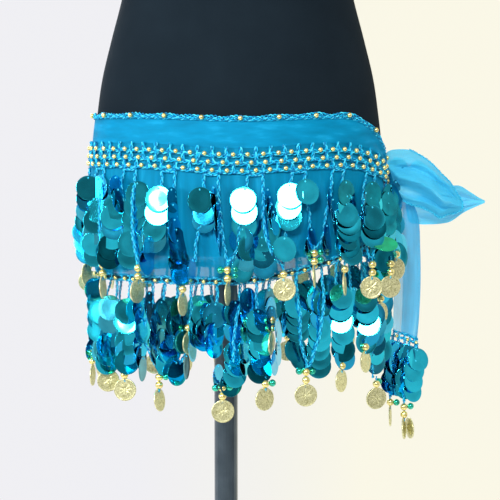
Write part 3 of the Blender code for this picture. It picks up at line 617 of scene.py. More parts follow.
def buildTopEdge():
    bits, beads = Bits(), Bits()
    stitches = crochetLook["topStitches"]
    step = columns / stitches
    u = np.linspace(0.35, columns - 0.35, 1400)
    arch = np.abs(np.cos(np.pi * (u / step - crochetLook["topPhase"]))) ** 0.8
    z = linesAt(u)["top"] + crochetLook["topRise"] + crochetLook["scallop"] * arch
    path, n = ringPath(u, z, wrapLook["out"] + crochetLook["topOut"])
    braid(bits, path, n, cordLook)
    z = z - crochetLook["loops"] * (0.35 + 0.65 * arch)
    path, n = ringPath(u, z, wrapLook["out"] + crochetLook["loopsOut"])
    braid(bits, path, n, cordLook, size=0.75, phase=0.3)
    for k in range(stitches + 1):
        at = (k + crochetLook["topPhase"]) * step
        if 0.8 < at < columns - 0.8:
            z = linesAt(at)["top"] + crochetLook["topGoldRise"]
            spot = skin(at, z, wrapLook["out"] + crochetLook["topGoldOut"])
            addBead(beads, spot, crochetLook["topGold"], ball=smallBall)
    edge = bits.make("upperEdgeCord", threads, "crochet", ["upper_cord"])
    beads.make("upperEdgeBeads", [gold], "crochet")
    return edge


def buildNet():
    netOut, netSize, goldRise = (crochetLook[key] for key in ("netOut", "netSize", "goldRise"))
    for side, first, last in halves:
        bits, beads = Bits(), Bits()
        u = np.linspace(first, last, 700)
        for row, z in enumerate(linesAt(u)["bars"]):
            wobble = crochetLook["wobble"] * np.sin(2 * np.pi * (u + 0.25 * row))
            path, n = ringPath(u, z + wobble, netOut)
            braid(bits, path, n, size=netSize, phase=0.2 * row)
        for k in range(math.ceil(first), math.floor(last) + 1):
            here, half = linesAt(k), linesAt(k + 0.5)
            slant = 0.10 * math.sin(k * 2.1)
            posts = ((k + 0.5, half["tab"], half["bars"][0], slant),
                     (k + 0.46, half["bars"][0], half["bars"][1], -slant),
                     (k, here["bars"][1], here["bars"][2] - 0.001, slant))
            share = np.linspace(0, 1, 8)
            for at, high, low, lean in posts:
                if first < at < last:
                    z = high + (low - high) * share
                    path, n = ringPath(at + lean * (share - 0.5), z, netOut + 0.0004)
                    braid(bits, path, n, size=netSize, phase=0.37 * k)
            spots = ((k, here["bars"][0] + goldRise), (k - 0.2, here["bars"][1] + goldRise),
                     (k + 0.5, half["bars"][2] + 0.0018))
            for at, z in spots:
                if first < at < last:
                    jitter = 0.06 * math.sin(k * 5.3 + z * 900)
                    spot = skin(at + jitter, z, netOut + 0.0016)
                    addBead(beads, spot, crochetLook["netGold"], ball=smallBall)
            if k % 3 == 1 and k + 1 < last:  # a chain joins the two roots of a pair
                share = np.linspace(0, 1, 12)
                z = linesAt(k + share)["bars"][2] - crochetLook["rootLink"]
                z = z + 0.0006 * np.cos(2 * np.pi * share)
                path, n = ringPath(k + share, z, netOut)
                braid(bits, path, n, size=0.9)
        bits.make("netBand" + side, threads, "crochet", ["net_band_" + side.lower()])
        beads.make("netBeads" + side, [gold], "crochet")


def hemOut(u, z):
    return wrapLook["out"] + foldsAt(u) * growth(u, z) + 0.0006


def buildHem():
    start, drop = crochetLook["hemStart"], crochetLook["hemDrop"]
    cells = crochetLook["hemCells"] / columns
    for side, first, last in halves:
        bits, beads = Bits(), Bits()
        u = np.linspace(first, last, 700)
        hem = linesAt(u)["hem"]
        for down, size in ((start, 0.85), (drop, 0.95)):
            z = hem - down + 0.0003 * np.sin(2 * np.pi * u * cells)
            path, n = ringPath(u, z, hemOut(u, z))
            braid(bits, path, n, size=size)
        path, n = ringPath(u, hem - 0.0036, hemOut(u, hem) - 0.0010)
        sweep(bits, path, n, 4, crochetLook["hemShadowRadius"], 3)  # a dark tube of painted shadow behind the open stitches
        for k in range(crochetLook["hemCells"]):
            at = (k + 0.5) / cells
            if not first < at < last:
                continue
            share = np.linspace(0, 1, 6)
            z = float(linesAt(at)["hem"]) - start - (drop - start) * share
            path, n = ringPath(at + 0.08 * (share - 0.5) * math.sin(k * 1.7), z, hemOut(at, z) + 0.0003)
            braid(bits, path, n, size=0.9, phase=0.3 * k)
            spot = k / cells
            if first < spot < last:
                z = float(linesAt(spot)["hem"]) - drop + 0.0004
                bead = skin(spot, z + 0.0018, hemOut(spot, z) + 0.0028)
                addBead(beads, bead, crochetLook["hemGold"], ball=smallBall)
        bits.make("hemEdging" + side, threads + [paintedHemShadow], "crochet", ["hem_edging_" + side.lower()])
        beads.make("hemBeads" + side, [gold], "crochet")


topEdge = buildTopEdge()
buildNet()
buildHem()
print("crochet worked")

# fringe: chains, discs, beads and coins
discLook = dict(radius=0.0140, thick=0.00022, cup=0.00016, hole=0.0113, spacing=0.0118, segments=28,
                shares=(0.0, 0.60, 0.985, 1.0), knot=0.00085)
coinLook = dict(radius=0.0124, thick=0.0010, rim=0.0006, petals=8, dots=20, segments=36, hole=0.86,
                shares=(0.0, 0.10, 0.20, 0.32, 0.45, 0.56, 0.66, 0.76, 0.84, 0.90, 0.95, 1.0))


def discProto():
    r, t, c = discLook["radius"], discLook["thick"], discLook["cup"]
    face = [(r * s, c * s * s * (1.0 if s < 0.99 else 0.9)) for s in discLook["shares"]]
    profile = [(a, h + t / 2) for a, h in face] + [(a, h - t / 2) for a, h in reversed(face)]
    return turnedDisc(profile, discLook["segments"])


def coinProto():
    # both faces: an eight-leaved rosette in a ring of dots, inside a raised rim
    r, t, rim = coinLook["radius"], coinLook["thick"], coinLook["rim"]
    turn = 2 * np.pi * np.arange(coinLook["segments"]) / coinLook["segments"]
    dots = 0.5 + 0.5 * np.cos(coinLook["dots"] * turn)
    rings = []
    for sign, shares in ((1, coinLook["shares"]), (-1, coinLook["shares"][::-1])):
        for s in shares:
            petals = 0.5 + 0.5 * np.cos(coinLook["petals"] * turn + 2.2 * s)
            relief = rim * petals * np.exp(-(((s - 0.36) / 0.22) ** 2)) * 1.2
            relief = relief + rim * 0.9 * dots * math.exp(-(((s - 0.76) / 0.05) ** 2))
            if s >= 0.90:
                relief = np.full_like(turn, rim * (0.8 if s < 1 else 0.2))
            if s == 0:
                relief = np.full_like(turn, rim * 0.9)
            height = sign * (t / 2 + relief * 0.8)
            rings.append(np.stack([r * s * np.cos(turn), r * s * np.sin(turn), height], -1))
    return np.concatenate(rings), gridFaces(len(rings), coinLook["segments"], False, True)


discShape, coinShape = discProto(), coinProto()


def hangDisc(discs, knots, holePoint, facing, tip, roll, kind, scale=1.0):
    # a disc hung by the hole near its rim; tip swings its lower rim out
    hinge = np.cross(upWay, facing)
    normal = rotated(facing, hinge, -tip)
    toHole = rotated(rotated(upWay, hinge, -tip), normal, roll)
    centre = holePoint - toHole * discLook["hole"] * scale
    discs.add((discShape[0] * scale) @ frameFrom(normal, toHole) + centre, [discShape[1]], kind)
    addBead(knots, holePoint + normal * 0.0005, discLook["knot"], 1, tinyBall, 1.3)


def hangCoin(coins, top, facing, roll, tip):
    normal = rotated(facing, np.cross(upWay, facing), -tip)
    toHole = rotated(upWay, normal, roll)
    centre = top - toHole * coinLook["radius"] * coinLook["hole"]
    coins.add(coinShape[0] @ frameFrom(normal, toHole) + centre, [coinShape[1]])


# the strands in view: how far out the chain lies in mm, then the columns and heights (mm over the form)
# that it passes
upperWays = {
    28: (6, [(28.2, 60.0), (27.6, 30.0), (27.0, 2.0)]),
    26: (6, [(26.2, 60.0), (26.0, 30.0), (26.1, 3.4)]),
    25: (12, [(24.9, 54.5), (24.9, 21.3), (24.7, -8.5)]),
    23: (6, [(23.2, 77.2), (23.0, 55.5), (23.3, 17.1), (24.5, -8.2)]),
    22: (12, [(22.0, 50.5), (21.9, 18.0), (21.6, -8.0)]),
    20: (8, [(20.0, 72.6), (20.4, 38.1), (20.5, 22.9), (21.5, -5.8)]),
    19: (6, [(19.1, 72.8), (18.9, 35.3), (18.5, -28.0)]),
    17: (7, [(17.0, 62.4), (17.0, 47.4), (17.5, 19.5), (17.6, -4.1)]),
    16: (8, [(16.0, 62.4), (15.8, 35.8), (15.6, 9.1), (15.4, -7.0)]),
    14: (9, [(14.2, 73.1), (14.6, 32.6), (14.8, 9.1), (15.4, -5.9)]),
    13: (12, [(13.05, 46.4), (12.8, 19.7), (12.5, 6.8), (11.7, -10.6)]),
    11: (8, [(11.2, 72.9), (11.5, 24.8), (11.6, 8.7), (11.7, -10.6)]),
    10: (6, [(10.2, 80.2), (9.8, 45.8), (9.8, 24.3), (9.6, 10.2)]),
    8: (10, [(8.3, 72.3), (8.7, 48.7), (8.9, 24.0), (9.4, 10.1)]),
    7: (6, [(7.3, 82.9), (7.1, 39.4), (7.1, 6.7), (7.3, -8.4)]),
    5: (9, [(5.5, 71.5), (5.7, 60.7), (5.4, 16.5), (5.2, -3.6)]),
    4: (8, [(4.4, 71.2), (4.3, 37.6), (4.9, 16.1), (5.1, -3.7)]),
    2: (8, [(2.2, 59.2), (2.3, 28.3), (2.6, 2.1), (2.8, -3.0)]),
}
# runs of discs in view: column and height of the first and last hole, how many, the way that the first and
# last face (degrees to the right), how far their lower rims swing out, foil, mm out from the cloth
upperRuns = (
    (26.0, 84.0, 26.3, 46.2, 4, 14, 20, 12, 0, 8), (26.7, 34.0, 26.4, 12.2, 3, 8, -2, 14, 1, 9),
    (25.3, 84.7, 25.0, 68.2, 2, -48, -50, 6, 1, 5), (23.2, 85.2, 23.0, 72.2, 2, 62, 60, 6, 1, 4),
    (25.4, 60.0, 25.6, 10.0, 5, -20, -12, 8, 0, 6), (23.5, 64.5, 23.9, 9.4, 6, -2, 4, 9, 0, 6),
    (21.8, 79.1, 22.4, 11.4, 6, -14, -18, 5, 0, 4), (20.1, 74.2, 20.2, 59.1, 2, -5, -9, 14, 0, 9),
    (20.35, 41.9, 20.4, 30.0, 2, -20, -24, 6, 0, 9), (20.7, 20.0, 20.9, 5.9, 2, 68, 60, 4, 1, 9),
    (19.1, 73.2, 18.9, 41.0, 3, 66, 58, 4, 2, 7), (18.8, 30.4, 18.6, -5.0, 4, 52, 38, 5, 2, 10),
    (17.25, 73.4, 16.9, 60.6, 2, -15, -21, 6, 0, 8), (17.0, 52.2, 17.0, 46.0, 1, -20, -14, 6, 1, 7),
    (17.7, -1.7, 17.7, -2.8, 1, 74, 74, 0, 1, 7), (16.3, 75.6, 15.9, 50.0, 4, 78, 80, 3, 1, 6),
    (16.1, 42.0, 15.9, 28.0, 2, 82, 84, 3, 1, 6), (14.25, 73.7, 14.3, 60.9, 2, -6, -6, 15, 0, 11),
    (14.3, 46.9, 14.4, 30.9, 2, -10, -12, 2, 0, 9), (14.1, 22.2, 14.4, -1.3, 3, 34, 30, 3, 0, 7),
    (12.8, 73.4, 12.4, 49.8, 4, 76, 74, 4, 1, 5), (12.7, 41.4, 13.1, 22.2, 3, -16, -12, 5, 0, 6),
    (13.1, 13.7, 12.9, 2.9, 2, -18, -16, 4, 1, 7), (11.3, 77.7, 11.25, 54.2, 3, -6, -6, 15, 0, 11),
    (11.67, 21.2, 11.67, 21.2, 1, 25, 25, 16, 0, 14), (10.3, 81.9, 10.3, 81.9, 1, 24, 24, 16, 0, 14),
    (8.5, 74.9, 8.1, 48.9, 3, 74, 76, 3, 1, 6), (9.8, 30.0, 9.8, 21.3, 2, 66, 62, 3, 1, 6),
    (8.7, 33.9, 8.7, 26.3, 2, 70, 70, 3, 1, 6), (7.2, 80.1, 7.1, 64.9, 2, 46, 40, 3, 2, 9),
    (7.2, 56.3, 7.0, 13.7, 6, 22, 17, 19, 0, 10), (4.9, 78.0, 5.0, 62.0, 2, 42, 36, 5, 2, 9),
    (5.0, 52.0, 5.1, 32.0, 3, 20, 14, 19, 0, 12), (5.5, 68.0, 5.9, 46.0, 3, 76, 78, 3, 1, 6),
    (4.3, 18.0, 4.3, 10.0, 1, 8, 8, 56, 4, 17), (3.9, 14.0, 3.9, 4.0, 2, 26, 30, 3, 2, 5),
    (2.4, 66.0, 2.6, 10.0, 6, 44, 36, 8, 2, 6), (4.2, 66.0, 3.8, 30.0, 4, 50, 55, 6, 0, 5),
    (1.6, 52.0, 2.0, 8.0, 4, 38, 34, 8, 2, 8), (1.3, 78.0, 1.1, 4.0, 7, 58, 52, 6, 2, 14),
    (1.9, 74.0, 1.9, 62.0, 2, 42, 46, 5, 2, 1), (0.7, 62.0, 0.6, -2.0, 6, 76, 80, 4, 2, 13),
)
# the joins in view: column, height, gold beads, green beads, the way the coin faces
upperEnds = {
    27: (26.9, -2.4, 1, 0, 70), 24: (24.6, -4.9, 2, 0, 80), 21: (21.57, -5.7, 2, 1, 58),
    18: (18.4, -26.7, 1, 0, 70), 15: (15.4, -5.7, 2, 3, 78), 12: (11.7, -10.4, 1, 0, 6),
    9: (9.6, 11.4, 2, 3, 84), 6: (7.4, -7.1, 1, 0, 80), 3: (5.3, -3.5, 2, 0, 4),
    0: (3.5, -5.0, 2, 0, 16), 1: (2.6, 4.5, 1, 2, 30),
}
lowerWays = (  # as above; the first place is where the chain leaves the hem
    (6, [(24.5, -43.3), (24.7, -85.0), (25.3, -122.2)]), (9, [(23.2, -49.7), (23.1, -94.0), (23.4, -125.7)]),
    (9, [(21.1, -53.3), (21.7, -86.9), (21.2, -105.1), (20.5, -124.3)]),
    (12, [(20.2, -47.2), (20.4, -69.2), (20.4, -96.7), (20.4, -122.0)]),
    (12, [(19.1, -46.6), (19.4, -68.6), (19.5, -96.0), (20.2, -124.0)]),
    (8, [(18.1, -46.2), (18.1, -89.8), (18.4, -103.0), (19.1, -118.8), (20.2, -124.0)]),
    (5, [(17.3, -46.0), (17.4, -70.0), (17.4, -92.0)]),
    (6, [(16.2, -45.7), (16.3, -70.3), (16.4, -96.0)]),
    (14, [(14.6, -45.6), (15.0, -86.8), (15.07, -110.8), (15.85, -134.9)]),
    (8, [(13.4, -58.7), (13.3, -94.6), (12.9, -129.6)]),
    (8, [(12.5, -45.9), (12.0, -78.6), (12.0, -105.9), (12.7, -129.7)]),
    (14, [(10.5, -46.6), (10.4, -66.2), (10.3, -95.8), (9.8, -119.2)]),
    (14, [(8.54, -36.8), (8.7, -58.6), (8.9, -80.4), (9.7, -119.3)]),
    (8, [(7.4, -37.6), (7.0, -82.1), (6.9, -115.6)]), (7, [(6.1, -38.9), (6.2, -83.1), (6.8, -115.7)]),
    (8, [(4.95, -34.5), (4.6, -74.2), (4.6, -101.3)]), (7, [(3.4, -30.0), (3.6, -90.0), (3.5, -141.7)]),
)
lowerRuns = (
    (26.5, -31.0, 26.4, -62.5, 3, 40, 48, 8, 0, 5), (24.7, -48.5, 24.8, -78.9, 3, -20, -17, 7, 3, 9),
    (25.9, -54.9, 25.9, -75.3, 2, -4, -4, 17, 0, 6), (26.1, -98.4, 26.1, -100.6, 1, 66, 66, 3, 1, 6),
    (24.7, -90.3, 24.8, -109.4, 3, 34, 30, 6, 0, 7), (22.9, -49.6, 22.9, -49.6, 1, 14, 14, 10, 0, 13),
    (23.0, -61.8, 23.0, -61.8, 1, -4, -4, 17, 0, 11),
    (23.0, -74.2, 23.0, -106.4, 4, -20, 14, 8, 0, 10), (21.0, -39.9, 21.0, -49.8, 2, 70, 68, 4, 1, 4),
    (21.8, -45.9, 21.6, -70.0, 3, 58, 62, 5, 0, 5), (21.8, -86.6, 21.7, -99.8, 2, 60, 64, 5, 1, 6),
    (21.5, -111.6, 21.5, -112.7, 1, 76, 76, 2, 2, 7), (20.5, -60.1, 20.6, -93.1, 4, 66, 58, 5, 1, 7),
    (20.1, -49.1, 20.0, -79.7, 3, 62, 56, 5, 2, 5), (19.3, -59.5, 19.4, -73.8, 2, 60, 56, 5, 1, 6),
    (19.6, -90.9, 19.8, -105.2, 2, 34, 20, 8, 0, 10), (18.9, -46.4, 18.6, -79.1, 3, 52, 56, 6, 2, 4),
    (18.3, -106.6, 18.3, -107.7, 1, 78, 78, 2, 2, 9), (19.05, -114.6, 19.0, -115.7, 1, 44, 44, 4, 0, 10),
    (17.3, -48.8, 17.5, -72.8, 3, 36, 40, 7, 0, 7), (17.9, -87.3, 17.9, -87.3, 1, 74, 74, 2, 1, 5),
    (16.3, -50.5, 16.4, -83.1, 4, 10, 50, 6, 1, 9), (17.0, -67.4, 17.1, -76.2, 2, 40, 36, 5, 0, 5),
    (14.9, -48.5, 14.9, -67.0, 2, 30, 26, 6, 2, 6), (15.0, -92.7, 15.0, -115.5, 3, 23, 26, 12, 0, 9),
    (16.1, -117.1, 16.1, -119.3, 1, 66, 66, 2, 1, 7), (15.2, -125.5, 15.2, -126.6, 1, 30, 30, 4, 2, 8),
    (14.1, -34.6, 14.1, -67.2, 3, 50, 54, 6, 1, 5), (14.3, -88.9, 14.3, -102.0, 2, 62, 60, 5, 0, 5),
    (13.3, -58.1, 13.2, -111.3, 7, 25, 22, 12, 0, 9), (12.0, -67.5, 12.0, -91.4, 3, 74, 76, 3, 1, 6),
    (12.2, -102.3, 12.1, -104.5, 1, 72, 72, 2, 1, 6), (12.6, -34.8, 12.4, -54.4, 3, 66, 64, 3, 2, 5),
    (10.7, -41.6, 10.5, -67.8, 4, 27, 24, 12, 0, 8), (10.7, -89.7, 10.0, -98.9, 2, 30, 16, 6, 2, 7),
    (11.4, -59.1, 11.6, -63.4, 1, 66, 66, 3, 1, 5), (9.3, -33.9, 9.4, -36.0, 1, 52, 52, 5, 1, 5),
    (8.5, -40.7, 8.7, -55.9, 2, 34, 30, 6, 0, 7), (8.9, -68.8, 9.0, -108.2, 5, 24, 22, 12, 0, 9),
    (7.2, -33.9, 7.1, -60.4, 3, 24, -8, 19, 0, 9), (7.0, -73.8, 6.9, -101.7, 4, 22, 30, 10, 0, 8),
    (4.9, -39.5, 4.6, -66.7, 3, 16, -8, 19, 0, 10), (4.5, -78.1, 4.7, -86.9, 2, 18, 26, 6, 1, 9),
    (5.8, -38.8, 5.7, -55.7, 2, 60, 56, 6, 0, 5), (3.4, -59.4, 3.2, -113.1, 6, 30, 36, 6, 1, 7),
    (3.2, 6.0, 2.9, -22.0, 3, 36, 30, 8, 0, 4), (1.6, 8.0, 1.7, -36.0, 4, 48, 42, 6, 2, 4),
    (1.8, -58.7, 1.8, -102.1, 5, 44, 40, 6, 0, 6), (2.3, -33.8, 2.0, -60.4, 3, 40, 30, 6, 1, 5),
)
lowerEnds = (
    (24.9, -118.8, 1, 0, 12), (23.2, -125.9, 1, 0, -6), (20.35, -124.6, 2, 1, 68), (15.8, -134.2, 2, 2, 6),
    (12.8, -130.0, 1, 1, 38), (9.9, -118.5, 2, 2, 8), (7.1, -114.8, 1, 0, 58), (4.9, -96.9, 1, 0, 60),
    (3.5, -141.7, 1, 1, 20), (18.2, -69.7, 1, 0, 60), (12.4, -60.6, 2, 0, 75), (2.85, -46.0, 1, 0, 46),
)


def outwardOf(u):
    return outwardAt(np.array([u]))[0]


def turnOf(u):
    x, y, _ = outwardOf(u)
    return math.degrees(math.atan2(x, -y))


rideLook = dict(below=0.010, crowdedFrom=0.777, crowdedOver=0.030, out=0.0075, above=0.014, fall=0.024)


def rideOver(u):
    # the upper strands stand off where the lower fringe starts above their ends
    lower = float(linesAt(u)["hem"]) - rideLook["below"]
    crowded = float(smooth((lower - rideLook["crowdedFrom"]) / rideLook["crowdedOver"]))
    return lambda z: rideLook["out"] * crowded * smooth((lower + rideLook["above"] - z) / rideLook["fall"])


def noRide(z):
    return 0.0 * z


def layChain(chains, start, places, out, straight, ride, rng):
    # a chain from its root (column, height, distance out) through its places, swinging out on the way
    spots = np.array([start[:2]] + [(u, formBottom + mm / 1000) for u, mm in places])
    lengths = np.concatenate([[0], np.cumsum(np.hypot(np.diff(spots[:, 0]) * pitch, np.diff(spots[:, 1])))])
    fine = hermite(np.hstack([lengths[:, None], spots]), np.linspace(0, lengths[-1] * 0.99999, 40))
    u, z = fine[:, 0], fine[:, 1]
    near = skin(u, z, start[2])
    far = skin(u, z, out / 1000 + ride(z), straight)
    line = near + (far - near) * smooth(np.linspace(0, 2.4, 40))[:, None]
    braid(chains, line, outwardAt(u), phase=rng.random())


runLook = dict(true=3, uneven=1.7, turns=5, tips=1.6, rolls=4,  # degrees; the first discs hang truer
               ownFoil=0.6, otherFoils=(0, 1, 1, 2, 3), clear=0.0025, lean=0.85)


def layRun(pieces, run, straight, ride, rng):
    u0, mm0, u1, mm1, count, turn0, turn1, tip, kind, out = run
    for i in range(count):
        share = i / max(1, count - 1)
        u, z = u0 + (u1 - u0) * share, formBottom + (mm0 + (mm1 - mm0) * share) / 1000
        uneven = 1.0 if i < runLook["true"] else runLook["uneven"]
        turn = turn0 + (turn1 - turn0) * share + (rng.gauss(0, runLook["turns"]) * uneven if i else 0)
        facing = rotated(frontFacing, upWay, turn)
        across = math.sqrt(max(0.0, 1 - float(np.dot(facing, outwardOf(u))) ** 2))
        least = runLook["clear"] + discLook["radius"] * across * runLook["lean"]
        hole = skin(u, z, max(out / 1000, least) + float(ride(np.array(z))), straight)
        look = kind if i == 0 or rng.random() < runLook["ownFoil"] else rng.choice(runLook["otherFoils"])
        swing = tip + rng.gauss(0, runLook["tips"]) * uneven
        hangDisc(pieces["discs"], pieces["chains"], hole, facing, swing, rng.gauss(0, runLook["rolls"]), look)


looseLook = dict(out=(6, 9), underOut=12, tips=(5, 13), underTip=4, discsOut=8, underDiscs=4,
                 turns=15, twist=22, foils=(0, 0, 1, 2), spare=0.006)


def hangLoose(pieces, root, start, goal, under, straight, ride, bare, rng):
    # a strand out of the camera's view: a bare chain, then discs that turn a little from one to the next;
    # of the two that meet at a join, one has its discs under the other's
    out = looseLook["underOut"] if under else rng.uniform(*looseLook["out"])
    low = (goal[0], (goal[1] - formBottom) * 1000)
    middle = (start[0] * 0.7 + goal[0] * 0.3, (start[1] * 0.5 + goal[1] * 0.5 - formBottom) * 1000)
    layChain(pieces["chains"], start, [middle, low], out, straight, ride, rng)
    count = int((start[1] - goal[1] - bare - looseLook["spare"]) / discLook["spacing"])
    turn = turnOf(root) + rng.gauss(0, looseLook["turns"])
    top = (start[1] - bare - formBottom) * 1000
    run = (start[0] * 0.9 + goal[0] * 0.1, top,
           start[0] * 0.2 + goal[0] * 0.8, top - count * discLook["spacing"] * 1000,
           count, turn, turn + rng.uniform(-looseLook["twist"], looseLook["twist"]),
           looseLook["underTip"] if under else rng.uniform(*looseLook["tips"]),
           rng.choice(looseLook["foils"]), looseLook["underDiscs" if under else "discsOut"])
    layRun(pieces, run, straight, ride, rng)


endLook = dict(gold=0.0043, green=0.0040, beside=0.0076, coinDrop={1: 0.0115, 2: 0.0205},
               goldDrop=0.0066, goldStep=0.0090, greenDrop=0.0050, greenStep=0.0070)


def hangEnd(pieces, join, outward, golds, greens, turn, rng, coins=1):
    # below the join: one or two gold beads, green ones beside them, and the coin
    side = np.cross(upWay, outward)
    low = join - upWay * endLook["coinDrop"][golds]
    line = np.linspace(join + upWay * 0.002, low - upWay * 0.003, 6)
    braid(pieces["chains"], line, np.tile(outward, (6, 1)), size=0.62)
    for number in range(golds):
        drop = endLook["goldDrop"] + endLook["goldStep"] * number
        addBead(pieces["beads"], join - upWay * drop, endLook["gold"])
    for number in range(greens):
        way = 1 if number % 2 == 0 else -1
        drop = endLook["greenDrop"] + endLook["greenStep"] * (number // 2) + rng.uniform(0, 0.002)
        spot = join + side * way * endLook["beside"] - outward * 0.001 - upWay * drop
        addBead(pieces["beads"], spot, endLook["green"], 1)
    facing = rotated(frontFacing, upWay, turn)
    for number in range(coins):
        top = low + side * 0.007 * number - outward * 0.003 * number - upWay * 0.0010
        hangCoin(pieces["coins"], top, rotated(facing, upWay, 30 * number), rng.gauss(0, 5), rng.gauss(2, 3))


def newPieces():
    return dict(chains=Bits(), discs=Bits(), beads=Bits(), coins=Bits())


def makePieces(pieces, name, replaced):
    discs = pieces["discs"].make(name + "Discs", foils, "sequins", replaced)
    pieces["chains"].make(name + "Chains", threads, "crochet")
    pieces["beads"].make(name + "Beads", [gold, green], "sequins")
    pieces["coins"].make(name + "Coins", [coinMetal], "sequins")
    return discs


fringeLook = dict(upperJoin=0.790, upperStep=0.002, upperBare=0.018, upperOut=0.0120,
                  lowerLength=(0.088, 0.100), lowerBare=0.038, lowerFirst=28.2, frontOut=0.0115,
                  backOut=0.0110, coinSwing=80)


def sideOf(u):
    return "Front" if u < scarf["backFrom"] else "Back"


def upperJoinAt(join):
    return fringeLook["upperJoin"] + fringeLook["upperStep"] * (join % 4)


def buildUpperFringe():
    rng = random.Random(21)
    sides = {"Front": newPieces(), "Back": newPieces()}
    plumb, swing = scarf["plumbFrom"], fringeLook["coinSwing"]
    for root in (c for c in range(2, columns - 1) if c % 3):
        join = root + 1 if root % 3 == 2 else root - 1
        pieces = sides[sideOf(root)]
        start = (root, float(linesAt(root)["bars"][2]) - 0.003, crochetLook["netOut"])
        if root in upperWays:
            out, places = upperWays[root]
            layChain(pieces["chains"], start, places, out, plumb, rideOver(join), rng)
        else:
            rng.seed(root * 7)
            goal = (join % columns, upperJoinAt(join))
            hangLoose(pieces, root, start, goal, root % 3 == 2, plumb, rideOver(join),
                      fringeLook["upperBare"], rng)
    for run in upperRuns:
        layRun(sides["Front"], run, plumb, rideOver(run[2]), rng)
    for join in [*range(0, columns - 1, 3), 1]:
        if join in upperEnds:
            u, mm, golds, greens, turn = upperEnds[join]
            z = formBottom + mm / 1000
        else:
            rng.seed(join * 11)
            u, z, golds, greens = join, upperJoinAt(join), 2, rng.choice((0, 1, 2))
            turn = turnOf(join) + rng.uniform(-swing, swing)
        spot = skin(u, z, fringeLook["upperOut"] + float(rideOver(u)(np.array(z))), plumb)
        hangEnd(sides[sideOf(u)], spot, outwardOf(u), golds, greens, turn, rng)
    for side, pieces in sides.items():
        makePieces(pieces, "upperFringe" + side, ["upper_fringe_" + side.lower()])


def hemRoot(u):
    z = float(linesAt(u)["hem"]) - crochetLook["hemDrop"] - 0.001
    return u, z, float(hemOut(u, z))


def buildLowerFringe():
    rng = random.Random(5)
    sides = {"Front": newPieces(), "Back": newPieces()}
    plumb, swing = scarf["hem"], fringeLook["coinSwing"]
    for out, places in lowerWays:
        layChain(sides["Front"]["chains"], hemRoot(places[0][0]), places, out, plumb, noRide, rng)
    for run in lowerRuns:
        layRun(sides["Front"], run, plumb, noRide, rng)
    for u, mm, golds, greens, turn in lowerEnds:
        spot = skin(u, formBottom + mm / 1000, fringeLook["frontOut"], plumb)
        hangEnd(sides["Front"], spot, outwardOf(u), golds, greens, turn, rng)
    cell = columns / crochetLook["hemCells"]
    for number in range(crochetLook["hemCells"] // 3):
        middle = fringeLook["lowerFirst"] + 3 * cell * number
        if middle > columns + scarf["knotClear"]:
            break
        rng.seed(number * 13 + 1)
        height = float(linesAt(middle)["hem"]) - rng.uniform(*fringeLook["lowerLength"])
        for root, under in ((middle - cell, False), (middle + cell, True)):
            hangLoose(sides["Back"], root, hemRoot(root), (middle, height), under, plumb, noRide,
                      fringeLook["lowerBare"], rng)
        greens, turn = rng.choice((0, 1, 1, 2)), turnOf(middle) + rng.uniform(-swing, swing)
        if number == 0:
            turn = 84  # the first coin at the back shows from the front, edge on
        spot = skin(middle, height, fringeLook["backOut"], plumb)
        hangEnd(sides["Back"], spot, outwardOf(middle), 2, greens, turn, rng)
    for side, pieces in sides.items():
        makePieces(pieces, "lowerFringe" + side, ["lower_fringe_" + side.lower()])


buildUpperFringe()
buildLowerFringe()
print("fringe hung")

# the knot and both tied ends
knotLook = dict(sides=48, levels=36, size=(0.0145, 0.0180, 0.0210), clothOut=0.0020, gap=0.0025)
knotAway = outwardOf(0.0)
knotAlong = np.cross(upWay, -knotAway)
knotMiddle = (skin(0.0, formBottom + scarf["knotHeight"], knotLook["clothOut"])
              + knotAway * (knotLook["gap"] + knotLook["size"][0]))
flapRows = np.array([  # top dx, top dz, bottom dx, bottom dz, dy, bulge: cross-lines from the knot outwards
    (-0.0170, 0.0244, -0.0035, -0.0126, -0.0158, -0.0040), (-0.0075, 0.0299, 0.0035, -0.0266, -0.0150, -0.0090),
    (0.0125, 0.0300, 0.0175, -0.0336, -0.0090, -0.0140), (0.0245, 0.0244, 0.0295, -0.0371, -0.0040, -0.0180),
    (0.0375, 0.0164, 0.0405, -0.0426, 0.0010, -0.0200), (0.0505, 0.0039, 0.0505, -0.0486, 0.0060, -0.0180),
    (0.0625, -0.0076, 0.0605, -0.0456, 0.0110, -0.0140), (0.0720, -0.0210, 0.0705, -0.0436, 0.0160, -0.0080),
    (0.0790, -0.0315, 0.0785, -0.0410, 0.0195, -0.0030)])
pointRows = np.array([
    (0.0103, 0.0040, 0.0089, -0.0120, 0.0109, 0.0030), (0.0250, 0.0170, 0.0160, -0.0520, 0.0245, 0.0100),
    (0.0370, 0.0120, 0.0280, -0.0575, 0.0250, 0.0130), (0.0510, 0.0000, 0.0420, -0.0580, 0.0250, 0.0140),
    (0.0640, -0.0110, 0.0560, -0.0570, 0.0245, 0.0120), (0.0765, -0.0125, 0.0670, -0.0540, 0.0235, 0.0090),
    (0.0875, -0.0190, 0.0810, -0.0440, 0.0225, 0.0060), (0.0975, -0.0255, 0.0940, -0.0375, 0.0215, 0.0030),
    (0.1060, -0.0300, 0.1055, -0.0325, 0.0210, 0.0005)])
tiedLook = dict(along=84, across=60, wrinkle=0.0030, flat=(0.10, 0.07), creases=(  # place, spread, depth
    (0.16, 0.044, 0.0060), (0.36, 0.050, -0.0100), (0.56, 0.040, 0.0110), (0.72, 0.036, -0.0080),
    (0.87, 0.030, 0.0060)))


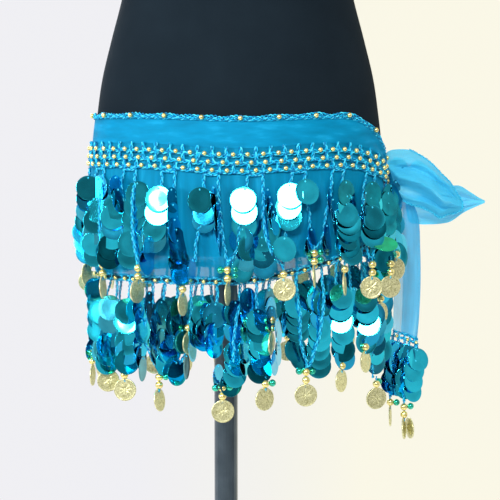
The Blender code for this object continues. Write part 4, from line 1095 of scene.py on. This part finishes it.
def tiedSheet(name, rows, creases, material, replaced):
    t = np.linspace(0, 1, tiedLook["along"])
    index = np.hstack([np.arange(len(rows))[:, None] / (len(rows) - 1), rows])
    fine = hermite(index, np.minimum(t, 0.999999))
    v = np.linspace(0, 1, tiedLook["across"])
    top, bottom = fine[:, None, 0:2], fine[:, None, 2:4]
    spot = top + (bottom - top) * v[None, :, None]
    x, z = spot[..., 0], spot[..., 1]
    swell = np.sin(np.pi * v)[None] * fine[:, 5][:, None]
    y = fine[:, 4][:, None] + swell
    amount = smooth(np.minimum(t / 0.15, (1 - t) / 0.35))[:, None] * np.sin(np.pi * v)[None] ** 0.5
    for at, spread, depth in creases:
        line = at + 0.07 * np.sin(3.2 * t + at * 9)[:, None] * (0.4 + t[:, None])
        y = y - depth * amount * np.exp(-(((v[None] - line) / (spread * 2.1)) ** 2))
    along, across = np.broadcast_arrays(t[:, None], v[None])
    grain = np.array([noise.noise(Vector((a * 3.5, b * 15 + a * 4, 7.7)))
                      + 0.6 * noise.noise(Vector((a * 6, b * 34 + a * 9, 2.2)))
                      for a, b in zip(along.ravel(), across.ravel())]).reshape(x.shape)
    y = y + tiedLook["wrinkle"] * grain * amount
    points = np.stack([x, y, z], -1) + knotMiddle
    uv = np.stack([along * tiedLook["flat"][0], across * tiedLook["flat"][1]], -1)
    mesh = sheetMesh(name, points, uv)
    mesh.materials.append(material)
    return place(name, mesh, "chiffon", replaced), points


flap, flapPoints = tiedSheet("tiedEndFlap", flapRows, tiedLook["creases"], paintedLightLayer, ["tied_end_flap"])
point, _ = tiedSheet("tiedEndPoint", pointRows, tiedLook["creases"][1:3], paintedLightLayer, ["tied_end_point"])


def buildKnot():
    bits = Bits()
    sides, levels, size = knotLook["sides"], knotLook["levels"], knotLook["size"]
    tilt = np.pi * (0.04 + 0.92 * np.arange(levels) / (levels - 1))[:, None]
    turn = (2 * np.pi * np.arange(sides) / sides)[None]
    folds = 1 - 0.10 * np.cos(turn + 2.4 * np.cos(tilt)) ** 4 - 0.035 * np.cos(9 * turn + 7 * np.cos(tilt))
    points = (knotMiddle + (np.cos(turn) * np.sin(tilt) * size[0] * folds)[..., None] * knotAway
              + (np.sin(turn) * np.sin(tilt) * size[1] * folds)[..., None] * knotAlong
              + (np.cos(tilt) * size[2] * np.ones_like(turn))[..., None] * upWay)
    bits.add(points.reshape(-1, 3), [gridFaces(levels, sides, False, True)])
    bits.make("sideKnot", [doubleLayer], "chiffon", ["side_knot"])


buildKnot()

tailPlan = np.array([  # the folded strip from above, x and y beside the knot's middle
    (-0.0030, 0.0035), (0.0100, 0.0015), (0.0230, 0.0030), (0.0285, 0.0070), (0.0225, 0.0110),
    (0.0080, 0.0120)])
tailRows = np.array([  # depth under the knot, share of the width, drift
    (0.0203, 0.50, -0.0062), (0.0450, 0.85, -0.0005), (0.0800, 1.00, 0.0000), (0.1200, 1.00, 0.0008),
    (0.1580, 0.96, 0.0000), (0.1800, 0.92, -0.0012)])
tailLook = dict(flat=0.65, slant=0.010, down=80, across=40, width=0.06, pleat=0.0011,
                edgeTop=0.0010, edgeLow=0.0064, edgeGold=0.0019, frontShare=0.62,
                roots=0.0066, firstDisc=0.008, spare=0.012, discSize=0.97)


def buildTail():
    across = tailLook["across"]
    depth = np.linspace(tailRows[0, 0], tailRows[-1, 0], tailLook["down"])
    fine = hermite(tailRows, np.minimum(depth, tailRows[-1, 0] - 1e-7))
    plan = hermite(np.hstack([np.linspace(0, 1, len(tailPlan))[:, None], tailPlan]),
                   np.linspace(0, 0.999999, across))
    left, right = tailPlan[:, 0].min(), tailPlan[:, 0].max()
    centreX, centreY = (left + right) / 2, tailPlan[:, 1].mean()
    down = (depth / tailRows[-1, 0])[:, None]
    flat = 1 - tailLook["flat"] * depth / tailRows[-1, 0]
    x = centreX + (plan[None, :, 0] - centreX) * fine[:, 0][:, None] + fine[:, 1][:, None]
    pleat = tailLook["pleat"] * np.sin(np.linspace(0, 5.2, across) * 2.1)[None]
    pleat = pleat * np.exp(-((depth - 0.03) / 0.05) ** 2)[:, None]
    y = centreY + (plan[None, :, 1] - centreY) * flat[:, None] + pleat
    low = tailLook["slant"] * (plan[None, :, 0] - left) / (right - left) * down
    points = np.stack([x, y, -depth[:, None] - low], -1) + knotMiddle
    uv = np.stack(np.broadcast_arrays(np.linspace(0, tailLook["width"], across)[None], depth[:, None]), -1)
    mesh = sheetMesh("hangingEnd", points, uv)
    mesh.materials.append(tailLayer)
    return place("hangingEnd", mesh, "chiffon", ["hanging_end"]), points


tail, tailPoints = buildTail()


def buildFlapEdge():
    # the crochet runs along the flap's upper edge, round its end and back along the lower edge
    start, stop = int(tiedLook["along"] * 0.26), int(tiedLook["along"] * 0.86)
    outer = np.concatenate([flapPoints[start:, 0], flapPoints[-1, 1:], flapPoints[::-1, -1][1:stop]])
    scallop = 0.0004 * np.sin(np.arange(len(outer)) * 1.9)
    outer = outer + frontFacing * 0.0006 + upWay * scallop[:, None]
    bits = Bits()
    braid(bits, outer, np.tile(frontFacing, (len(outer), 1)), size=0.55)
    # painted highlight: the edge takes the middle and the highlit copies of the yarn
    return bits.make("flapEdge", [threads[2], threads[1], threads[1]], "crochet")


flapEdge = buildFlapEdge()

# the hanging end's strands: place on the edge, how far it drifts, length, out, the way it faces, tip, foil,
# and its end, where it has one: gold beads, green beads, the way the coin faces, coins
tailStrands = (
    (0.04, -0.006, 0.066, 0.000, 30, 8, 1, None),
    (0.20, -0.009, 0.070, 0.004, 44, 8, 1, (1, 1, 80, 1)),
    (0.40, -0.010, 0.062, -0.004, -10, 8, 0, None),
    (0.55, -0.006, 0.070, 0.010, 14, 2, 0, (2, 1, 76, 2)),
    (0.80, -0.009, 0.058, 0.003, 32, 12, 0, None),
    (0.96, -0.011, 0.064, 0.006, 28, 14, 0, None),
)


def buildTailEdge():
    rng = random.Random(11)
    edge = tailPoints[-1]
    frontCount = int(len(edge) * tailLook["frontShare"])
    edgeTop, edgeLow = upWay * tailLook["edgeTop"], upWay * tailLook["edgeLow"]
    pieces = newPieces()
    bits = pieces["chains"]
    for drop in (edgeTop, edgeLow):
        braid(bits, edge - drop + frontFacing * 0.0006, np.tile(frontFacing, (len(edge), 1)), size=0.85)
    for i in range(1, frontCount, 4):
        post = np.linspace(edge[i] - edgeTop, edge[i] - edgeLow, 5) + frontFacing * 0.0008
        braid(bits, post, np.tile(frontFacing, (5, 1)), size=0.8)
        if i % 8 == 1:
            spot = edge[i + 2] - upWay * 0.0056 + frontFacing * 0.0026
            addBead(pieces["beads"], spot, tailLook["edgeGold"], ball=smallBall)
    foremost = edge[:, 1].min()
    reach = np.linspace(0, 1, 24)
    for share, run, length, out, turn, tip, kind, end in tailStrands:
        x, y, z = edge[int(share * (frontCount - 1))] - upWay * tailLook["roots"]
        line = np.stack([x + run * smooth(reach), y + (foremost - out - y) * smooth(reach * 2),
                         z - length * reach], -1)
        braid(bits, line, np.tile(frontFacing, (24, 1)), phase=rng.random())
        away = frontFacing * (-0.0015 if tip < 4 else 0.002)
        for i in range(int((length - tailLook["spare"]) / discLook["spacing"])):
            down = (tailLook["firstDisc"] + i * discLook["spacing"]) / length
            spot = np.array([np.interp(down, reach, line[:, k]) for k in range(3)])
            facing = rotated(frontFacing, upWay, turn + rng.gauss(0, 6))
            swing, roll = tip + rng.gauss(0, 1), rng.gauss(0, 7)
            look = kind if rng.random() < runLook["ownFoil"] else rng.choice((0, 1, 2))
            hangDisc(pieces["discs"], bits, spot + away, facing, swing, roll, look, tailLook["discSize"])
        if end:
            hangEnd(pieces, line[-1], frontFacing, *end[:3], rng, end[3])
    return makePieces(pieces, "hangingEndFringe", ["hanging_end_fringe"])


tailDiscs = buildTailEdge()
print("knot tied", *(round(areaOf(end), 5) for end in (flap, point, tail)))

# floor, light and camera
studio = dict(
    elevation=4.5, distance=1.6, width=0.575, sensor=36, aim=(0.0138, 0.0, 0.800),
    floorRadius=1.15, floorDepth=0.02, floorEdge=0.004,
    lamps=(  # name, place, size, power, colour
        ("key", (-0.35, -2.15, 1.95), 0.55, 46.0, (1.0, 0.99, 0.97)),
        ("fill", (-2.0, -1.1, 1.25), 0.8, 36.0, (0.96, 0.98, 1.0)),
        ("side", (1.9, -1.7, 1.5), 2.0, 17.0, (1.0, 0.97, 0.91)),
        ("back", (-0.9, 1.5, 1.7), 1.0, 16.0, (0.95, 0.98, 1.0))),
    # the wall is near white, cool on the left and warm on the right; the room before it is darker
    wall=((0.38, (0.870, 0.868, 0.900)), (0.52, (0.905, 0.895, 0.845)), (0.62, (0.960, 0.935, 0.800))),
    room=((0.30, (0.12, 0.125, 0.13)), (0.47, (0.32, 0.33, 0.34)), (0.56, (0.52, 0.53, 0.54)),
          (0.66, (0.36, 0.37, 0.38)), (0.80, (0.62, 0.63, 0.65))),
    patches=((0.40, (0.34, 0.34, 0.34)), (0.58, (1.30, 1.30, 1.30))),
)


def buildFloor():
    r, depth = studio["floorRadius"], studio["floorDepth"]
    profile = [(0.0, 0.0), (r * 0.98, 0.0), (r, -studio["floorEdge"]), (r, -depth), (0.0, -depth)]
    points, faces = turnedDisc(profile, 128)
    mesh = bpy.data.meshes.new("floor")
    mesh.from_pydata(points.tolist(), [], faces.tolist())
    mesh.materials.append(mottled("paleFloor", (0.80, 0.80, 0.80), 0.75, 0.0, (3.0, 2.0),
                                  [(0.3, (0.77, 0.77, 0.77)), (0.7, (0.83, 0.83, 0.83))]))
    floor = bpy.data.objects.new("floor", mesh)
    bpy.context.scene.collection.objects.link(floor)
    floor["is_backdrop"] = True


def mixColours(nodes, links, share, first, second, blend="MIX"):
    mix = nodes.new("ShaderNodeMix")
    mix.data_type, mix.blend_type = "RGBA", blend
    if isinstance(share, float):
        mix.inputs[0].default_value = share
    else:
        links.new(share, mix.inputs[0])
    links.new(first, mix.inputs[6])
    links.new(second, mix.inputs[7])
    return mix.outputs[2]


def buildWorld():
    world = bpy.data.worlds.new("studio")
    bpy.context.scene.world = world
    world.use_nodes = True
    nodes, links = world.node_tree.nodes, world.node_tree.links
    coords = nodes.new("ShaderNodeTexCoord").outputs["Generated"]
    split = nodes.new("ShaderNodeSeparateXYZ")
    links.new(coords, split.inputs["Vector"])
    acrossWall = addMath(nodes, links, "MULTIPLY_ADD", split.outputs["X"], 1.5, 0.5)
    wall = addRamp(nodes, links, acrossWall, studio["wall"])
    upRoom = addMath(nodes, links, "MULTIPLY_ADD", split.outputs["Z"], 0.5, 0.5)
    room = addRamp(nodes, links, upRoom, studio["room"])
    patches = addRamp(nodes, links, addNoise(nodes, links, coords, 3.4, 1.0), studio["patches"])
    room = mixColours(nodes, links, 1.0, room, patches, "MULTIPLY")
    behind = addMath(nodes, links, "MULTIPLY_ADD", split.outputs["Y"], 2.2, 0.5)
    behind.node.use_clamp = True
    seen = nodes.new("ShaderNodeLightPath").outputs["Is Camera Ray"]  # the picture's ground is all wall
    ground = mixColours(nodes, links, addMath(nodes, links, "MAXIMUM", behind, seen), room, wall)
    links.new(ground, nodes["Background"].inputs["Color"])
    nodes["Background"].inputs["Strength"].default_value = 1.0


def buildLamps():
    aim = Vector(studio["aim"])
    for name, at, size, power, colour in studio["lamps"]:
        light = bpy.data.lights.new(name, "AREA")
        light.shape, light.size = "SQUARE", size
        light.energy, light.color = power, colour
        lamp = bpy.data.objects.new(name, light)
        bpy.context.scene.collection.objects.link(lamp)
        lamp.visible_glossy = name != "side"  # that one only softens the shadows
        lamp.location = at
        lamp.rotation_euler = (aim - lamp.location).to_track_quat("-Z", "Y").to_euler()


def buildCamera():
    scene = bpy.context.scene
    tilt = math.radians(studio["elevation"])
    lens = bpy.data.cameras.new("camera")
    lens.sensor_width = studio["sensor"]
    lens.lens = studio["sensor"] * studio["distance"] / studio["width"]
    camera = bpy.data.objects.new("camera", lens)
    scene.collection.objects.link(camera)
    back = Vector((0, -math.cos(tilt), math.sin(tilt)))
    camera.location = Vector(studio["aim"]) + studio["distance"] * back
    camera.rotation_euler = (math.pi / 2 - tilt, 0, 0)
    scene.camera = camera
    scene.view_settings.view_transform = "Standard"


buildFloor()
buildWorld()
buildLamps()
buildCamera()
total = sum(sum(len(p.vertices) - 2 for p in o.data.polygons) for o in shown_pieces() if o.type == "MESH")
print("studio set", total, "triangles")
